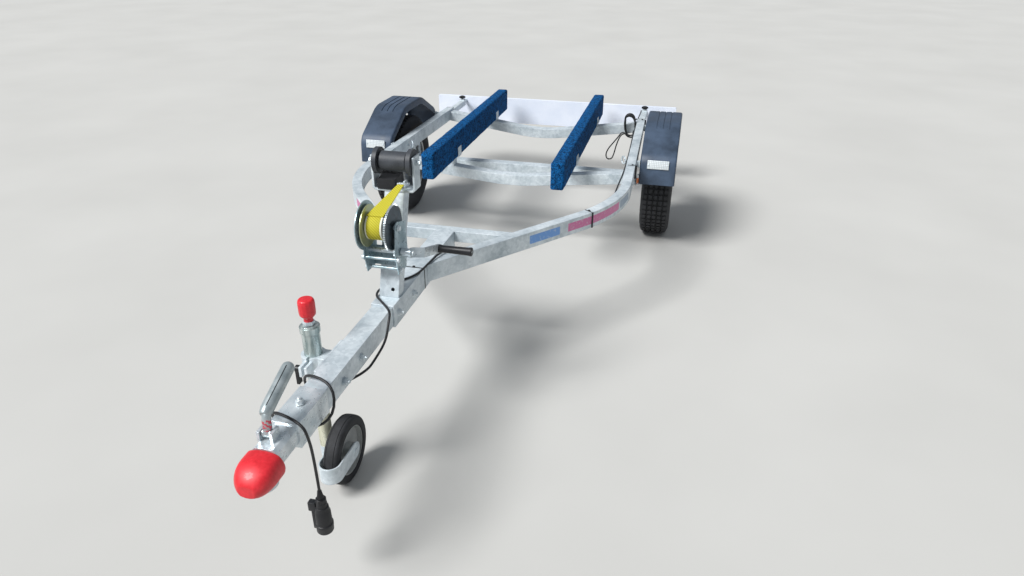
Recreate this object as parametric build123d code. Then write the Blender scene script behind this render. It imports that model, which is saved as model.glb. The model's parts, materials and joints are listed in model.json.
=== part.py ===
"""Small galvanised boat trailer for a personal watercraft, parked on its wheels and jockey wheel.

Millimetres. +X is the trailer's left-to-right as seen from ahead, -Y is the nose, +Z is up, and the
ground is Z = 0. Places along Y are measured from the wheel axis, and `shift_y` moves them at export
so that the origin lies under the middle of the whole trailer.
"""

import os
from math import asin, atan2, cos, degrees, pi, radians, sin, sqrt, tan

from build123d import *

# Running gear
TRACK_HALF = 695.0
TYRE_R = 254.0
TYRE_W = 145.0
TREAD_W = 118.0
BELLY_R = 206.0
BEAD_W = 110.0
RIM_R = 152.0
RIM_LIP_GAP = 5.0
RIM_LIP_R = 163.0
RIM_WALL = 3.0
DISC_OFFSET = 18.0
DISC_BORE_R = 32.0
LUG_PCD = 100.0
LUG_COUNT = 4
LUG_HOLE_R = 7.0
HUB_BARREL_R = 34.0
HUB_BARREL_L = 62.0
HUB_FLANGE_R = 66.0
HUB_FLANGE_T = 8.0
HUB_BORE_R = 15.0
STUD_R = 6.0
STUD_L = 26.0
CAP_R = 24.0
CAP_L = 26.0
RUNNING_GAP = 0.05
SEAT_GAP = 0.3

# Chassis
RAIL_W = 40.0
RAIL_H = 60.0
RAIL_TOP = 465.0
TUBE_WALL = 3.0
RAIL_REAR_Y = 432.0
RAIL_REAR_HALF = 577.0
RAIL_KNEE_HALF = 605.5
RAIL_KNEE_Y = -879.0
RAIL_BEND_R = 660.0
RAIL_NOSE_ANGLE = 38.0
RAIL_CROSS_Y = RAIL_KNEE_Y - (RAIL_KNEE_HALF - RAIL_W / 2) / tan(radians(RAIL_NOSE_ANGLE))
CROSSBAR_Y = RAIL_CROSS_Y + 318.0
CROSSBAR_SIZE = 40.0
OUTER_BAR_W = 70.0
OUTER_BAR_FRONT_Y = RAIL_CROSS_Y - 266.6
INNER_BAR_W = 60.0
INNER_BAR_REAR_Y = OUTER_BAR_FRONT_Y + 245.0
INNER_BAR_FRONT_Y = OUTER_BAR_FRONT_Y - 490.0
BAR_Z = RAIL_TOP - OUTER_BAR_W / 2
CAP_THICK = 5.0
CAP_PLUG_L = 18.0

# Cross members that carry the bunks
MEMBER_SIZE = 50.0
FRONT_MEMBER_Y = -325.0
FRONT_MEMBER_SAG = 55.0
REAR_MEMBER_Y = 395.0
REAR_MEMBER_SAG = 70.0
MEMBER_FLAT_HALF = 60.0
MEMBER_SHARE = 0.9
MEMBER_BEND_R = 900.0
MEMBER_END_GAP = 8.0

# Axle
AXLE_SIZE = 50.0
AXLE_Y = -140.0
AXLE_Z = 320.0
AXLE_HALF = 560.0
ARM_T = 22.0
ARM_W = 48.0
ARM_GAP = 4.0
STUB_R = HUB_BORE_R - RUNNING_GAP
BRACKET_W = 70.0
BRACKET_T = 6.0
BRACKET_X = 575.0

# Bunks
BUNK_X = 290.0
BUNK_W = 50.0
BUNK_H = 112.0
BUNK_Z0 = 424.0
BUNK_FRONT_Y = -700.0
BUNK_REAR_Y = 640.0
BUNK_CHAMFER = 10.0
SADDLE_T = 5.0
SADDLE_LEN = 50.0
SADDLE_UP = 42.0

# Mudguards
GUARD_IN = TRACK_HALF - 83.0
GUARD_OUT = TRACK_HALF + 81.0
GUARD_WALL = 3.0
GUARD_LIP = 34.0
GUARD_TOP = 592.0
GUARD_FLAT_HALF = 122.0
GUARD_SIDE_HALF = 338.0
GUARD_SIDE_Z = 478.0
GUARD_FOOT_HALF = 350.0
GUARD_FOOT_Z = 358.0
GUARD_FLAT_SHARE = 0.3
GUARD_SIDE_SHARE = 0.6
STAY_DROP = 48.0
STAY_W = 30.0
STAY_T = 5.0
REFLECTOR_MARGIN = 23.0
REFLECTOR_H = 44.0
REFLECTOR_T = 5.0
REFLECTOR_UP = 94.0
MARKER_H = 39.0
MARKER_W = 26.0
MARKER_T = 9.0

# Winch post and bow roller
POST_W = 60.0
POST_D = 40.0
POST_WALL = 3.0
POST_BASE_Y = OUTER_BAR_FRONT_Y + 70.0
POST_TOP_Y = POST_BASE_Y + 100.0
POST_TOP_Z = RAIL_TOP + 292.0
POST_HOLE_R = 5.5
POST_HOLE_IN = 22.0
STRAP_BAR_T = 6.0
STRAP_BAR_D = 45.0
YOKE_HALF = 65.0
YOKE_ARM_H = 100.0
YOKE_CORNER_R = 10.0
ROLLER_Z = POST_TOP_Z + 83.0
ROLLER_R = 28.0
ROLLER_NECK_R = 21.0
ROLLER_NECK_W = 6.0
ROLLER_FLANGE_R = 38.0
ROLLER_FLANGE_W = 13.0
ROLLER_END_GAP = 2.0
ROLLER_PIN_R = 8.0
PIN_HEAD_T = 5.0
STOP_W = 54.0
STOP_D = 50.0
STOP_H = 30.0
STOP_X = -22.0

# Winch
WINCH_Y = POST_BASE_Y - 31.0
WINCH_Z = RAIL_TOP + 228.0
MODULE = 2.0
GEAR_TEETH = 64
PINION_TEETH = 13
GEAR_T = 5.0
PINION_T = 10.0
GEAR_X = 33.0
TOOTH_ROOT_SHARE = 0.5
TOOTH_TIP_SHARE = 0.2
ADDENDUM = 0.8
DEDENDUM = 1.25
DRUM_FLANGE_R = 60.0
DRUM_FLANGE_T = 2.5
DRUM_LEFT_X = -38.0
DRUM_CORE_R = 19.0
DRUM_BORE_R = 6.0
STRAP_ROLL_R = 38.0
STRAP_W = 50.0
STRAP_SIDE_GAP = 2.0
PLATE_T = 3.0
PLATE_LEFT_X = -48.0
PLATE_RIGHT_X = 46.0
PLATE_EYE_R = 18.0
PLATE_GUARD_R = 70.0
PLATE_BACK_Z = WINCH_Z - 85.0
PLATE_FRONT = 24.0
PLATE_BELLY = 14.0
WINCH_FOOT_Z = WINCH_Z - 137.0
CRANK_SWING = 0.13
ROD_R = 4.5
ROD_IN = 12.0
CRANK_SHAFT_R = 7.0
CRANK_LEN = 164.0
CRANK_DROP = 18.5
CRANK_W = 28.0
CRANK_T = 6.0
CRANK_SET = 25.0
CRANK_SET_ALONG = (14.0, 36.0)
CRANK_X = 76.0
CRANK_NUT_R = 12.0
SHAFT_PAST = 6.0
GRIP_R = 13.5
GRIP_CORE_R = 8.0
GRIP_L = 104.0
STRAP_T = 2.5
STRAP_END_W = 18.0
STRAP_END_Y = POST_TOP_Y - 32.0
STRAP_END_Z = POST_TOP_Z + 26.0
STRAP_END_X = 26.0
RING_W = 5.0
RING_T = 6.0
RING_SEAT = 1.6
LUG_T = 5.0
LUG_R = 9.0
LUG_HOLE_GAP = 1.5

# Coupling
SHANK_T = 4.0
SHANK_REAR_Y = INNER_BAR_FRONT_Y + 75.0
SHANK_FRONT_Y = INNER_BAR_FRONT_Y - 60.0
BALL_Y = SHANK_FRONT_Y - 107.0
BALL_Z = BAR_Z - 18.0
SOCKET_R = 25.2
SOCKET_WALL = 7.0
SOCKET_DEPTH = 28.0
NECK_W = 60.0
NECK_TOP = BAR_Z + 30.0
NECK_Z0 = BAR_Z - 24.0
NECK_CHAMFER = 9.0
EAR_T = 7.0
EAR_L = 30.0
LEVER_X = -8.0
LEVER_PIVOT_Y = SHANK_FRONT_Y - 49.0
LEVER_PIVOT_Z = NECK_TOP + 14.0
LEVER_R = 10.0
LEVER_GAP = 2.0
LEVER_KNEE_Y = LEVER_PIVOT_Y + 4.0
LEVER_KNEE_Z = LEVER_PIVOT_Z + 46.0
LEVER_END_Y = LEVER_PIVOT_Y + 118.0
LEVER_END_Z = LEVER_PIVOT_Z + 93.0
LEVER_BEND_R = 24.0
LEVER_PIN_R = 5.0
COVER_HALF_W = 47.0
COVER_FRONT_Y = BALL_Y - 58.0
COVER_REAR_Y = BALL_Y + 22.0
COVER_TOP = BALL_Z + 47.0
COVER_FOOT = BALL_Z - 24.0
COVER_NOSE_R = 42.0
COVER_CROWN_R = 28.0

# Jockey wheel
JOCKEY_X = -107.0
JOCKEY_Y = INNER_BAR_FRONT_Y + 270.0
JOCKEY_TUBE_R = 24.0
JOCKEY_TUBE_WALL = 2.5
JOCKEY_TUBE_Z0 = 288.0
JOCKEY_TUBE_TOP = 508.0
JOCKEY_COLLAR_R = 27.0
JOCKEY_COLLAR_H = 16.0
LEG_R = 19.5
LEG_WALL = 3.0
LEG_Z0 = 118.0
LEG_TOP = 390.0
LEG_NUT_H = 20.0
SPINDLE_R = 7.0
SPINDLE_LAP = 60.0
KNOB_GAP = 4.0
KNOB_NECK_R = 12.5
KNOB_NECK_H = 22.0
KNOB_R = 22.5
KNOB_H = 54.0
CLAMP_Z0 = 378.0
CLAMP_TOP = 424.0
CLAMP_R = 33.0
CLAMP_PLATE_L = 150.0
CLAMP_PLATE_Y = JOCKEY_Y - 50.0
CLAMP_PLATE_Z0 = BAR_Z - 28.0
CLAMP_PLATE_T = 6.0
CLAMP_EAR_L = 30.0
CLAMP_EAR_T = 8.0
CLAMP_SPLIT = 8.0
TOGGLE_R = 5.0
TOGGLE_L = 45.0
TOGGLE_W = 16.0
SWIVEL_R = 14.0
SWIVEL_UP = 60.0
JWHEEL_R = 100.0
JWHEEL_W = 44.0
JWHEEL_X = JOCKEY_X + 51.5
JWHEEL_Y = JOCKEY_Y + 7.0
JTYRE_RIM_R = 72.0
JTYRE_CHAMFER = 7.0
JWHEEL_HUB_R = 22.0
JWHEEL_WEB_T = 8.0
JAXLE_R = 8.0
YOKE_T = 4.0
YOKE_SIDE_GAP = 6.0
YOKE_END_R = 26.0
YOKE_NOTCH_GAP = 6.0

# Light board
BOARD_HALF = 737.0
BOARD_Y = RAIL_REAR_Y + 318.0
BOARD_T = 22.0
BOARD_TOP = 461.0
BOARD_H = 150.0
BOARD_CORNER_R = 6.0
BOARD_WALL = 3.0
ARM_SECTION = 30.0
ARM_INSIDE = 50.0
ARM_POST_Y = BOARD_Y - 74.0
ARM_POST_TOP = 458.0
KNOB_SCREW_R = 5.0
KNOB_UP = 6.0
STAR_R = 19.0
STAR_LOBE_R = 5.7
STAR_H = 16.0
STAR_POINTS = 5
LAMP_W = 210.0
LAMP_H = 110.0
LAMP_T = 42.0
LAMP_IN = 125.0
PLATE_W = 340.0
PLATE_H = 90.0

# Cables
CABLE_R = 3.5
CABLE_BEND = 35.0
CABLE_SHARE = 0.45
RAIL_CABLE_GAP = 6.0
RAIL_CABLE_Z = RAIL_TOP - 17.0
RAIL_CABLE_Y = 215.0
TIE_X = 37.0
TIE_Y = RAIL_CROSS_Y - 12.0
TOP_CABLE_Z = RAIL_TOP + CABLE_R + 1.0
PLUG_R = 25.0
PLUG_GLAND = 24.0
PLUG_COLLAR = 12.0
PLUG_BODY = 76.0
PLUG_LATCH = 14.0
HANK_X = 504.0
HANK_Y = 362.0
HANK_Z = 446.0
HANK_LEAN = 0.1
HANK_PITCH = 8.3
HANK_BULGE = 2.0
# half width and half height of each turn of the hank, from the rear
HANK_TURNS = ((26.0, 60.0), (22.0, 66.0), (28.0, 52.0), (24.0, 63.0))
HANK_ARC = (15, 45, 75, 105, 135, 165)

# x, y from the rails' crossing, height above the bar's middle line: the cable's rise to the drawbar
RISE_ROUTE = (
    (232.0, 358.0, -13.0), (186.0, 286.0, -13.0), (143.0, 230.0, -6.0), (96.0, 178.0, 14.0),
    (68.0, 140.0, 42.0), (54.0, 98.0, 46.0), (40.0, 38.0, 39.5),
)
# x, y from the outer drawbar's front end, height above the bar's middle line: past the post,
# then twice round the inner bar and down to the plug
FRONT_ROUTE = (
    (34.0, 204.6, 39.5), (2.0, 153.0, 40.0), (-41.0, 98.0, 40.0), (-41.0, 45.0, 40.0), (-8.0, 11.0, 41.0),
    (42.0, -40.0, 42.0), (50.0, -74.0, 30.0), (48.0, -98.0, -20.0), (42.0, -165.0, -40.0),
    (40.0, -215.0, -44.0), (0.0, -285.0, -46.0), (-54.0, -348.0, -45.0), (-54.0, -373.0, 45.0),
    (54.0, -403.0, 45.0), (54.0, -445.0, -45.0), (-54.0, -488.0, -45.0), (-54.0, -524.0, 45.0),
    (44.0, -553.0, 45.0), (60.0, -557.0, 10.0), (57.0, -545.0, -66.0), (57.0, -545.0, -168.0),
)
# x, y from the rail's rear end, height above the rail's middle line: out of the light board,
# along its arm and over the rear member
ARM_ROUTE = (
    (534.0, 318.0, -1.0), (534.0, 268.0, -1.0), (533.0, 188.0, 1.0), (531.0, 108.0, -1.0),
    (530.0, 43.0, 13.0), (528.0, -4.0, 31.0), (526.0, -44.0, 33.0), (530.0, -66.0, 27.0),
)
# x, y and height from the middle of the hank: the loose bight and the way back to the rail
BIGHT_ROUTE = (
    (-27.0, -28.0, -36.0), (-43.0, -24.0, -38.0), (-57.0, -20.0, -62.0), (-86.0, -16.0, -102.0),
    (-109.0, -12.0, -138.0), (-121.0, -9.0, -172.0), (-114.0, -7.0, -198.0), (-95.0, -5.0, -194.0),
    (-82.0, -3.0, -162.0), (-69.0, -1.0, -116.0), (-54.0, 2.0, -72.0), (-46.0, 18.0, -64.0),
    (-32.0, 48.0, -65.0), (-8.0, 68.0, -60.0), (14.0, 64.0, -56.0), (30.0, 38.0, -55.0),
    (39.0, 4.0, -54.0), (37.0, -32.0, -54.0), (29.0, -58.0, -46.0), (27.0, -82.0, -20.0),
)


def box(x, y, z):
    """A block between two planes on each axis, given as (low, high) pairs."""
    size = [abs(pair[1] - pair[0]) for pair in (x, y, z)]
    centre = [(pair[0] + pair[1]) / 2 for pair in (x, y, z)]
    return Pos(*centre) * Box(*size)


def rod(start, end, radius):
    """A round bar between two points."""
    start = Vector(*start)
    end = Vector(*end)
    axis = end - start
    plane = Plane(origin=start, z_dir=axis)
    return extrude(plane * Circle(radius), amount=axis.length)


def pipe(start, end, radius, bore):
    return rod(start, end, radius) - rod(start, end, bore)


def swept(points, radius, section, up=(0, 0, 1)):
    """Sweep a drawn section along straight runs joined by arcs of one radius."""
    path = FilletPolyline(*points, radius=radius)
    start = Plane(origin=path @ 0, x_dir=Vector(*up).cross(path % 0), z_dir=path % 0)
    return sweep(start * section, path=path)


def side_plate(outline, x0, thickness):
    """A plate whose outline is drawn in the YZ plane, from x0 towards +X."""
    face = Plane.YZ.offset(x0) * make_face(Polyline(*outline, close=True))
    return extrude(face, amount=thickness)


def both_sides(piece):
    return piece + mirror(piece, about=Plane.YZ)


# Chassis tubes


def rail_points():
    """Plan of the right rail's middle line, from its rear end to the drawbar."""
    return [
        (RAIL_REAR_HALF - RAIL_W / 2, RAIL_REAR_Y),
        (RAIL_KNEE_HALF - RAIL_W / 2, RAIL_KNEE_Y),
        (0.0, RAIL_CROSS_Y),
    ]


def rail_sweep(width, height):
    z = RAIL_TOP - RAIL_H / 2
    points = [(x, y, z) for x, y in rail_points()]
    return swept(points, RAIL_BEND_R, Rectangle(width, height))


def rail_half_width(y):
    """Distance of the straight rear stretch's middle line from the middle plane."""
    (x0, y0), (x1, y1), _ = rail_points()
    return x0 + (x1 - x0) * (y - y0) / (y1 - y0)


def right_rail():
    body = rail_sweep(RAIL_W, RAIL_H) - rail_sweep(RAIL_W - 2 * TUBE_WALL, RAIL_H - 2 * TUBE_WALL)
    return body - box((-RAIL_H, OUTER_BAR_W / 2), (RAIL_CROSS_Y - RAIL_H, RAIL_KNEE_Y), (0, 2 * RAIL_TOP))


def square_tube(x, y, z, axis, wall=TUBE_WALL):
    """A hollow square tube filling a block, open along one axis."""
    inner = [(pair[0] + wall, pair[1] - wall) for pair in (x, y, z)]
    inner[axis] = (x, y, z)[axis]
    return box(x, y, z) - box(*inner)


def front_crossbar():
    y = (CROSSBAR_Y - CROSSBAR_SIZE / 2, CROSSBAR_Y + CROSSBAR_SIZE / 2)
    z = (RAIL_TOP - CROSSBAR_SIZE, RAIL_TOP)
    reach = (CROSSBAR_Y - RAIL_CROSS_Y) * tan(radians(RAIL_NOSE_ANGLE))
    bar = square_tube((-reach, reach), y, z, 0)
    filled = rail_sweep(RAIL_W, RAIL_H)
    return bar - filled - mirror(filled, about=Plane.YZ)


def outer_drawbar():
    half = OUTER_BAR_W / 2
    z = (RAIL_TOP - OUTER_BAR_W, RAIL_TOP)
    y = (OUTER_BAR_FRONT_Y, CROSSBAR_Y - CROSSBAR_SIZE / 2)
    wall = (OUTER_BAR_W - INNER_BAR_W) / 2 - SEAT_GAP
    return square_tube((-half, half), y, z, 1, wall)


def inner_drawbar():
    half = INNER_BAR_W / 2
    z = (BAR_Z - half, BAR_Z + half)
    return square_tube((-half, half), (INNER_BAR_FRONT_Y, INNER_BAR_REAR_Y), z, 1)


def rail_caps():
    """Plugs in the rear ends of both rails, with a slot for the light board's arm."""
    (x0, y0), (x1, y1), _ = rail_points()
    turn = degrees(atan2(x1 - x0, y0 - y1))
    z = RAIL_TOP - RAIL_H / 2
    plate = Pos(0, CAP_THICK / 2, 0) * Box(RAIL_W, CAP_THICK, RAIL_H)
    fit = 2 * TUBE_WALL + 2 * SEAT_GAP
    plug = Pos(0, -CAP_PLUG_L / 2, 0) * Box(RAIL_W - fit, CAP_PLUG_L, RAIL_H - fit)
    slot = Box(ARM_SECTION + 2 * SEAT_GAP, 4 * CAP_PLUG_L, ARM_SECTION + 2 * SEAT_GAP)
    cap = Pos(x0, RAIL_REAR_Y, z) * (Rot(0, 0, turn) * (plate + plug) - slot)
    return both_sides(cap)


# Cross members


def bent_form(size, y, end_x, end_top, sag):
    """Filled bar across the trailer, its middle stretch lower than its ends."""
    z_end = end_top - MEMBER_SIZE / 2
    z_mid = z_end - sag
    points = [
        (-end_x, y, z_end), (-MEMBER_FLAT_HALF, y, z_mid), (MEMBER_FLAT_HALF, y, z_mid), (end_x, y, z_end),
    ]
    turn = atan2(sag, end_x - MEMBER_FLAT_HALF)
    radius = min(MEMBER_BEND_R, MEMBER_SHARE * MEMBER_FLAT_HALF / tan(turn / 2))
    return swept(points, radius, Rectangle(size, size), (0, 1, 0))


def bent_member(*place):
    return bent_form(MEMBER_SIZE, *place) - bent_form(MEMBER_SIZE - 2 * TUBE_WALL, *place)


def member_top(x, end_x, end_top, sag):
    """Height of a bent member's top where a bunk crosses it."""
    rise = (abs(x) - MEMBER_FLAT_HALF) / (end_x - MEMBER_FLAT_HALF)
    return end_top - sag + sag * rise


FRONT_MEMBER_TOP = RAIL_TOP - RAIL_H
REAR_MEMBER_TOP = RAIL_TOP - MEMBER_END_GAP


def front_member_half():
    return rail_half_width(FRONT_MEMBER_Y) + RAIL_W / 2


def rear_member_half():
    return rail_half_width(REAR_MEMBER_Y) - RAIL_W / 2


def front_place():
    return FRONT_MEMBER_Y, front_member_half(), FRONT_MEMBER_TOP, FRONT_MEMBER_SAG


def rear_place():
    return REAR_MEMBER_Y, rear_member_half() + RAIL_W / 2, REAR_MEMBER_TOP, REAR_MEMBER_SAG


def front_member():
    return bent_member(*front_place())


def rear_member():
    filled = rail_sweep(RAIL_W, RAIL_H)
    return bent_member(*rear_place()) - filled - mirror(filled, about=Plane.YZ)


def bunk_saddle(y, end_x, end_top, sag):
    """Folded plate that holds one bunk above a bent member."""
    top = member_top(BUNK_X, end_x, end_top, sag)
    half = BUNK_W / 2
    y_span = (y - SADDLE_LEN / 2, y + SADDLE_LEN / 2)
    x_out = (BUNK_X - half - SADDLE_T - SEAT_GAP, BUNK_X + half + SADDLE_T + SEAT_GAP)
    channel = box(x_out, y_span, (BUNK_Z0 - SADDLE_T, BUNK_Z0 + SADDLE_UP))
    x_in = (BUNK_X - half - SEAT_GAP, BUNK_X + half + SEAT_GAP)
    channel -= box(x_in, y_span, (BUNK_Z0, BUNK_Z0 + SADDLE_UP))
    web = box((BUNK_X - SADDLE_T, BUNK_X + SADDLE_T), y_span, (top - MEMBER_SIZE / 2, BUNK_Z0 - SADDLE_T))
    return channel, web


def bunk_saddles():
    parts = Part()
    for place in (front_place(), rear_place()):
        channel, web = bunk_saddle(*place)
        parts += channel + web - bent_form(MEMBER_SIZE, *place)
    return both_sides(parts)


def bunk(side):
    x = side * BUNK_X
    half = BUNK_W / 2
    block = box((x - half, x + half), (BUNK_FRONT_Y, BUNK_REAR_Y), (BUNK_Z0, BUNK_Z0 + BUNK_H))
    return chamfer(block.edges().filter_by(Axis.Y) + block.edges().filter_by(Axis.Z), BUNK_CHAMFER)


# Axle and wheels


def axle_beam():
    half = AXLE_SIZE / 2
    y = (AXLE_Y - half, AXLE_Y + half)
    return square_tube((-AXLE_HALF, AXLE_HALF), y, (AXLE_Z - half, AXLE_Z + half), 0)


def arm_inner_x():
    return AXLE_HALF + SEAT_GAP


def swing_arms():
    """Trailing arms with the stub axles that carry the hubs."""
    x0 = arm_inner_x()
    pivot = Vector(0, AXLE_Y, AXLE_Z)
    wheel = Vector(0, 0, TYRE_R)
    reach = (wheel - pivot).length
    tilt = degrees(atan2(wheel.Z - pivot.Z, wheel.Y - pivot.Y))
    middle = (pivot + wheel) * 0.5
    bar = Pos(x0 + ARM_T / 2, middle.Y, middle.Z) * Rot(tilt, 0, 0) * Box(ARM_T, reach, ARM_W)
    bar += rod((x0, pivot.Y, pivot.Z), (x0 + ARM_T, pivot.Y, pivot.Z), ARM_W / 2)
    bar += rod((x0, 0, TYRE_R), (x0 + ARM_T, 0, TYRE_R), ARM_W / 2)
    hub_in = hub_inner_x()
    bar += rod((x0 + ARM_T, 0, TYRE_R), (hub_in - ARM_GAP, 0, TYRE_R), STUB_R + ARM_GAP)
    bar += rod((hub_in - ARM_GAP, 0, TYRE_R), (hub_in + HUB_BARREL_L - ARM_GAP, 0, TYRE_R), STUB_R)
    core = AXLE_SIZE / 2 - TUBE_WALL - SEAT_GAP
    bar += box((x0 - 2 * AXLE_SIZE, x0), (AXLE_Y - core, AXLE_Y + core), (AXLE_Z - core, AXLE_Z + core))
    return both_sides(bar)


def disc_x():
    """Inner face of the wheel disc, which the hub flange meets."""
    return TRACK_HALF + DISC_OFFSET


def hub_inner_x():
    return disc_x() - HUB_FLANGE_T - HUB_BARREL_L + HUB_FLANGE_T


def hub():
    """Hub at the origin of the wheel, its axis along X, for the right side."""
    x1 = disc_x() - TRACK_HALF
    x0 = x1 - HUB_BARREL_L
    body = rod((x0, 0, 0), (x1, 0, 0), HUB_BARREL_R) + rod((x1 - HUB_FLANGE_T, 0, 0), (x1, 0, 0), HUB_FLANGE_R)
    body += rod((x1, 0, 0), (x1 + CAP_L, 0, 0), CAP_R)
    body -= rod((x0 - 1, 0, 0), (x1 - SEAT_GAP, 0, 0), HUB_BORE_R)
    for index in range(LUG_COUNT):
        angle = 2 * pi * (index + 0.5) / LUG_COUNT
        y = LUG_PCD / 2 * cos(angle)
        z = LUG_PCD / 2 * sin(angle)
        body += rod((x1, y, z), (x1 + STUD_L, y, z), STUD_R)
    return body


def revolved(outline):
    """Turn an outline of (x, radius) points about the X axis."""
    face = Plane.XY * make_face(Polyline(*outline, close=True))
    return revolve(face, axis=Axis.X)


def rim():
    half = BEAD_W / 2 + RIM_LIP_GAP + RIM_WALL
    x1 = DISC_OFFSET
    wall = RIM_WALL
    barrel = [
        (-half, RIM_LIP_R), (-half + wall, RIM_LIP_R), (-half + wall, RIM_R), (half - wall, RIM_R),
        (half - wall, RIM_LIP_R), (half, RIM_LIP_R), (half, RIM_R - wall), (-half, RIM_R - wall),
    ]
    crown = LUG_PCD / 2 + HUB_BARREL_R / 2
    disc = [
        (x1, DISC_BORE_R), (x1, crown), (x1 - wall * 4, RIM_R - wall),
        (x1 - wall * 2, RIM_R - wall), (x1 + wall, crown), (x1 + wall, DISC_BORE_R),
    ]
    body = revolved(barrel) + revolved(disc)
    for index in range(LUG_COUNT):
        angle = 2 * pi * (index + 0.5) / LUG_COUNT
        y = LUG_PCD / 2 * cos(angle)
        z = LUG_PCD / 2 * sin(angle)
        body -= rod((x1 - half, y, z), (x1 + half, y, z), LUG_HOLE_R)
    return body


def tyre():
    """Tyre whose beads sit on the rim's barrel, between its lips."""
    side = ((BEAD_W / 2, RIM_R + SEAT_GAP), (TYRE_W / 2, BELLY_R), (TREAD_W / 2, TYRE_R))
    return revolved([*side, *[(-half, radius) for half, radius in reversed(side)]])


def on_wheel(piece, side):
    placed = Pos(TRACK_HALF, 0, TYRE_R) * piece
    return placed if side > 0 else mirror(placed, about=Plane.YZ)


def axle_brackets():
    """Stand-off channels between the axle beam and the rails."""
    z0 = AXLE_Z + AXLE_SIZE / 2
    z1 = RAIL_TOP - RAIL_H
    half = BRACKET_W / 2
    x_mid = rail_half_width(AXLE_Y)
    x = (x_mid - RAIL_W / 2, AXLE_HALF)
    y = (AXLE_Y - half, AXLE_Y + half)
    walls = box(x, (y[0], y[0] + BRACKET_T), (z0, z1)) + box(x, (y[1] - BRACKET_T, y[1]), (z0, z1))
    top = box((x[0], x_mid + RAIL_W / 2), y, (z1 - BRACKET_T, z1))
    foot = box(x, y, (z0, z0 + BRACKET_T))
    return both_sides(walls + top + foot)


# Mudguards


def guard_outline(inset):
    """Arch of a mudguard in the YZ plane, drawn in by the wall's thickness."""
    foot = GUARD_FOOT_HALF - inset
    side = GUARD_SIDE_HALF - inset
    flat = GUARD_FLAT_HALF - inset * GUARD_FLAT_SHARE
    top = GUARD_TOP - inset
    side_z = GUARD_SIDE_Z - inset * GUARD_SIDE_SHARE
    return [
        (-foot, GUARD_FOOT_Z), (-side, side_z), (-flat, top), (flat, top), (side, side_z), (foot, GUARD_FOOT_Z),
    ]


def mudguard(side):
    x = (GUARD_IN, GUARD_OUT)
    inside = (x[0] + GUARD_WALL, x[1] - GUARD_WALL)
    outer = side_plate(guard_outline(0), x[0], x[1] - x[0])
    hollow = side_plate(guard_outline(GUARD_WALL), inside[0], inside[1] - inside[0])
    arch = side_plate(guard_outline(GUARD_LIP), x[0], x[1] - x[0])
    half = GUARD_FOOT_HALF - GUARD_WALL
    foot = box(inside, (-half, half), (GUARD_FOOT_Z, GUARD_FOOT_Z + GUARD_WALL))
    shell = outer - hollow - arch - foot
    return shell if side > 0 else mirror(shell, about=Plane.YZ)


def guard_half_at(z):
    """Half length of the mudguard at this height of its end face."""
    share = (z - GUARD_FOOT_Z) / (GUARD_SIDE_Z - GUARD_FOOT_Z)
    return GUARD_FOOT_HALF + (GUARD_SIDE_HALF - GUARD_FOOT_HALF) * share


def mudguard_stays():
    """Flat bars from the rails to the inner flanges of the mudguards."""
    parts = Part()
    z = GUARD_SIDE_Z - STAY_DROP
    x1 = GUARD_IN - SEAT_GAP
    for end in (-1, 1):
        y = end * (guard_half_at(z) - GUARD_LIP / 2)
        x0 = rail_half_width(y)
        parts += box((x0, x1), (y - STAY_T / 2, y + STAY_T / 2), (z, z + STAY_W))
        parts += box((x1 - STAY_T, x1), (y - STAY_W / 2, y + STAY_W / 2), (z, z + STAY_W))
    return both_sides(parts - rail_sweep(RAIL_W, RAIL_H))


def guard_front_face():
    """Place and tilt of the mudguard's lower front face, as an outward plane."""
    low = Vector(0, -GUARD_FOOT_HALF, GUARD_FOOT_Z)
    high = Vector(0, -GUARD_SIDE_HALF, GUARD_SIDE_Z)
    along = (high - low).normalized()
    middle = Vector((GUARD_IN + GUARD_OUT) / 2, low.Y, low.Z) + along * REFLECTOR_UP
    return Plane(origin=middle, x_dir=(1, 0, 0), z_dir=Vector(1, 0, 0).cross(along))


def front_reflectors():
    width = GUARD_OUT - GUARD_IN - 2 * REFLECTOR_MARGIN
    plate = extrude(RectangleRounded(width, REFLECTOR_H, REFLECTOR_T), amount=REFLECTOR_T)
    return both_sides(guard_front_face() * plate)


def side_markers():
    x = GUARD_IN
    y = GUARD_LIP / 2 - guard_half_at(GUARD_FOOT_Z)
    z = GUARD_FOOT_Z
    return both_sides(box((x - MARKER_T, x), (y - MARKER_W / 2, y + MARKER_W / 2), (z, z + MARKER_H)))


# Winch post


def post_outline(inset):
    """Leaning post in the YZ plane, narrowed by the wall where it is hollow."""
    half = POST_D / 2 - inset
    foot = [(POST_BASE_Y - half, RAIL_TOP), (POST_BASE_Y + half, RAIL_TOP)]
    return [*foot, (POST_TOP_Y + half, POST_TOP_Z), (POST_TOP_Y - half, POST_TOP_Z)]


def post_y(z):
    """The post's middle line at a height."""
    return POST_BASE_Y + (POST_TOP_Y - POST_BASE_Y) * (z - RAIL_TOP) / (POST_TOP_Z - RAIL_TOP)


def winch_post():
    half = POST_W / 2
    post = side_plate(post_outline(0), -half, POST_W)
    post -= side_plate(post_outline(POST_WALL), POST_WALL - half, POST_W - 2 * POST_WALL)
    holes = ((RAIL_TOP + POST_HOLE_IN, POST_HOLE_IN / 2), (POST_TOP_Z - POST_HOLE_IN, -POST_HOLE_IN))
    for z, x in holes:
        y = post_y(z)
        post -= rod((x, y - POST_D, z), (x, y, z), POST_HOLE_R)
    return post


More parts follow.
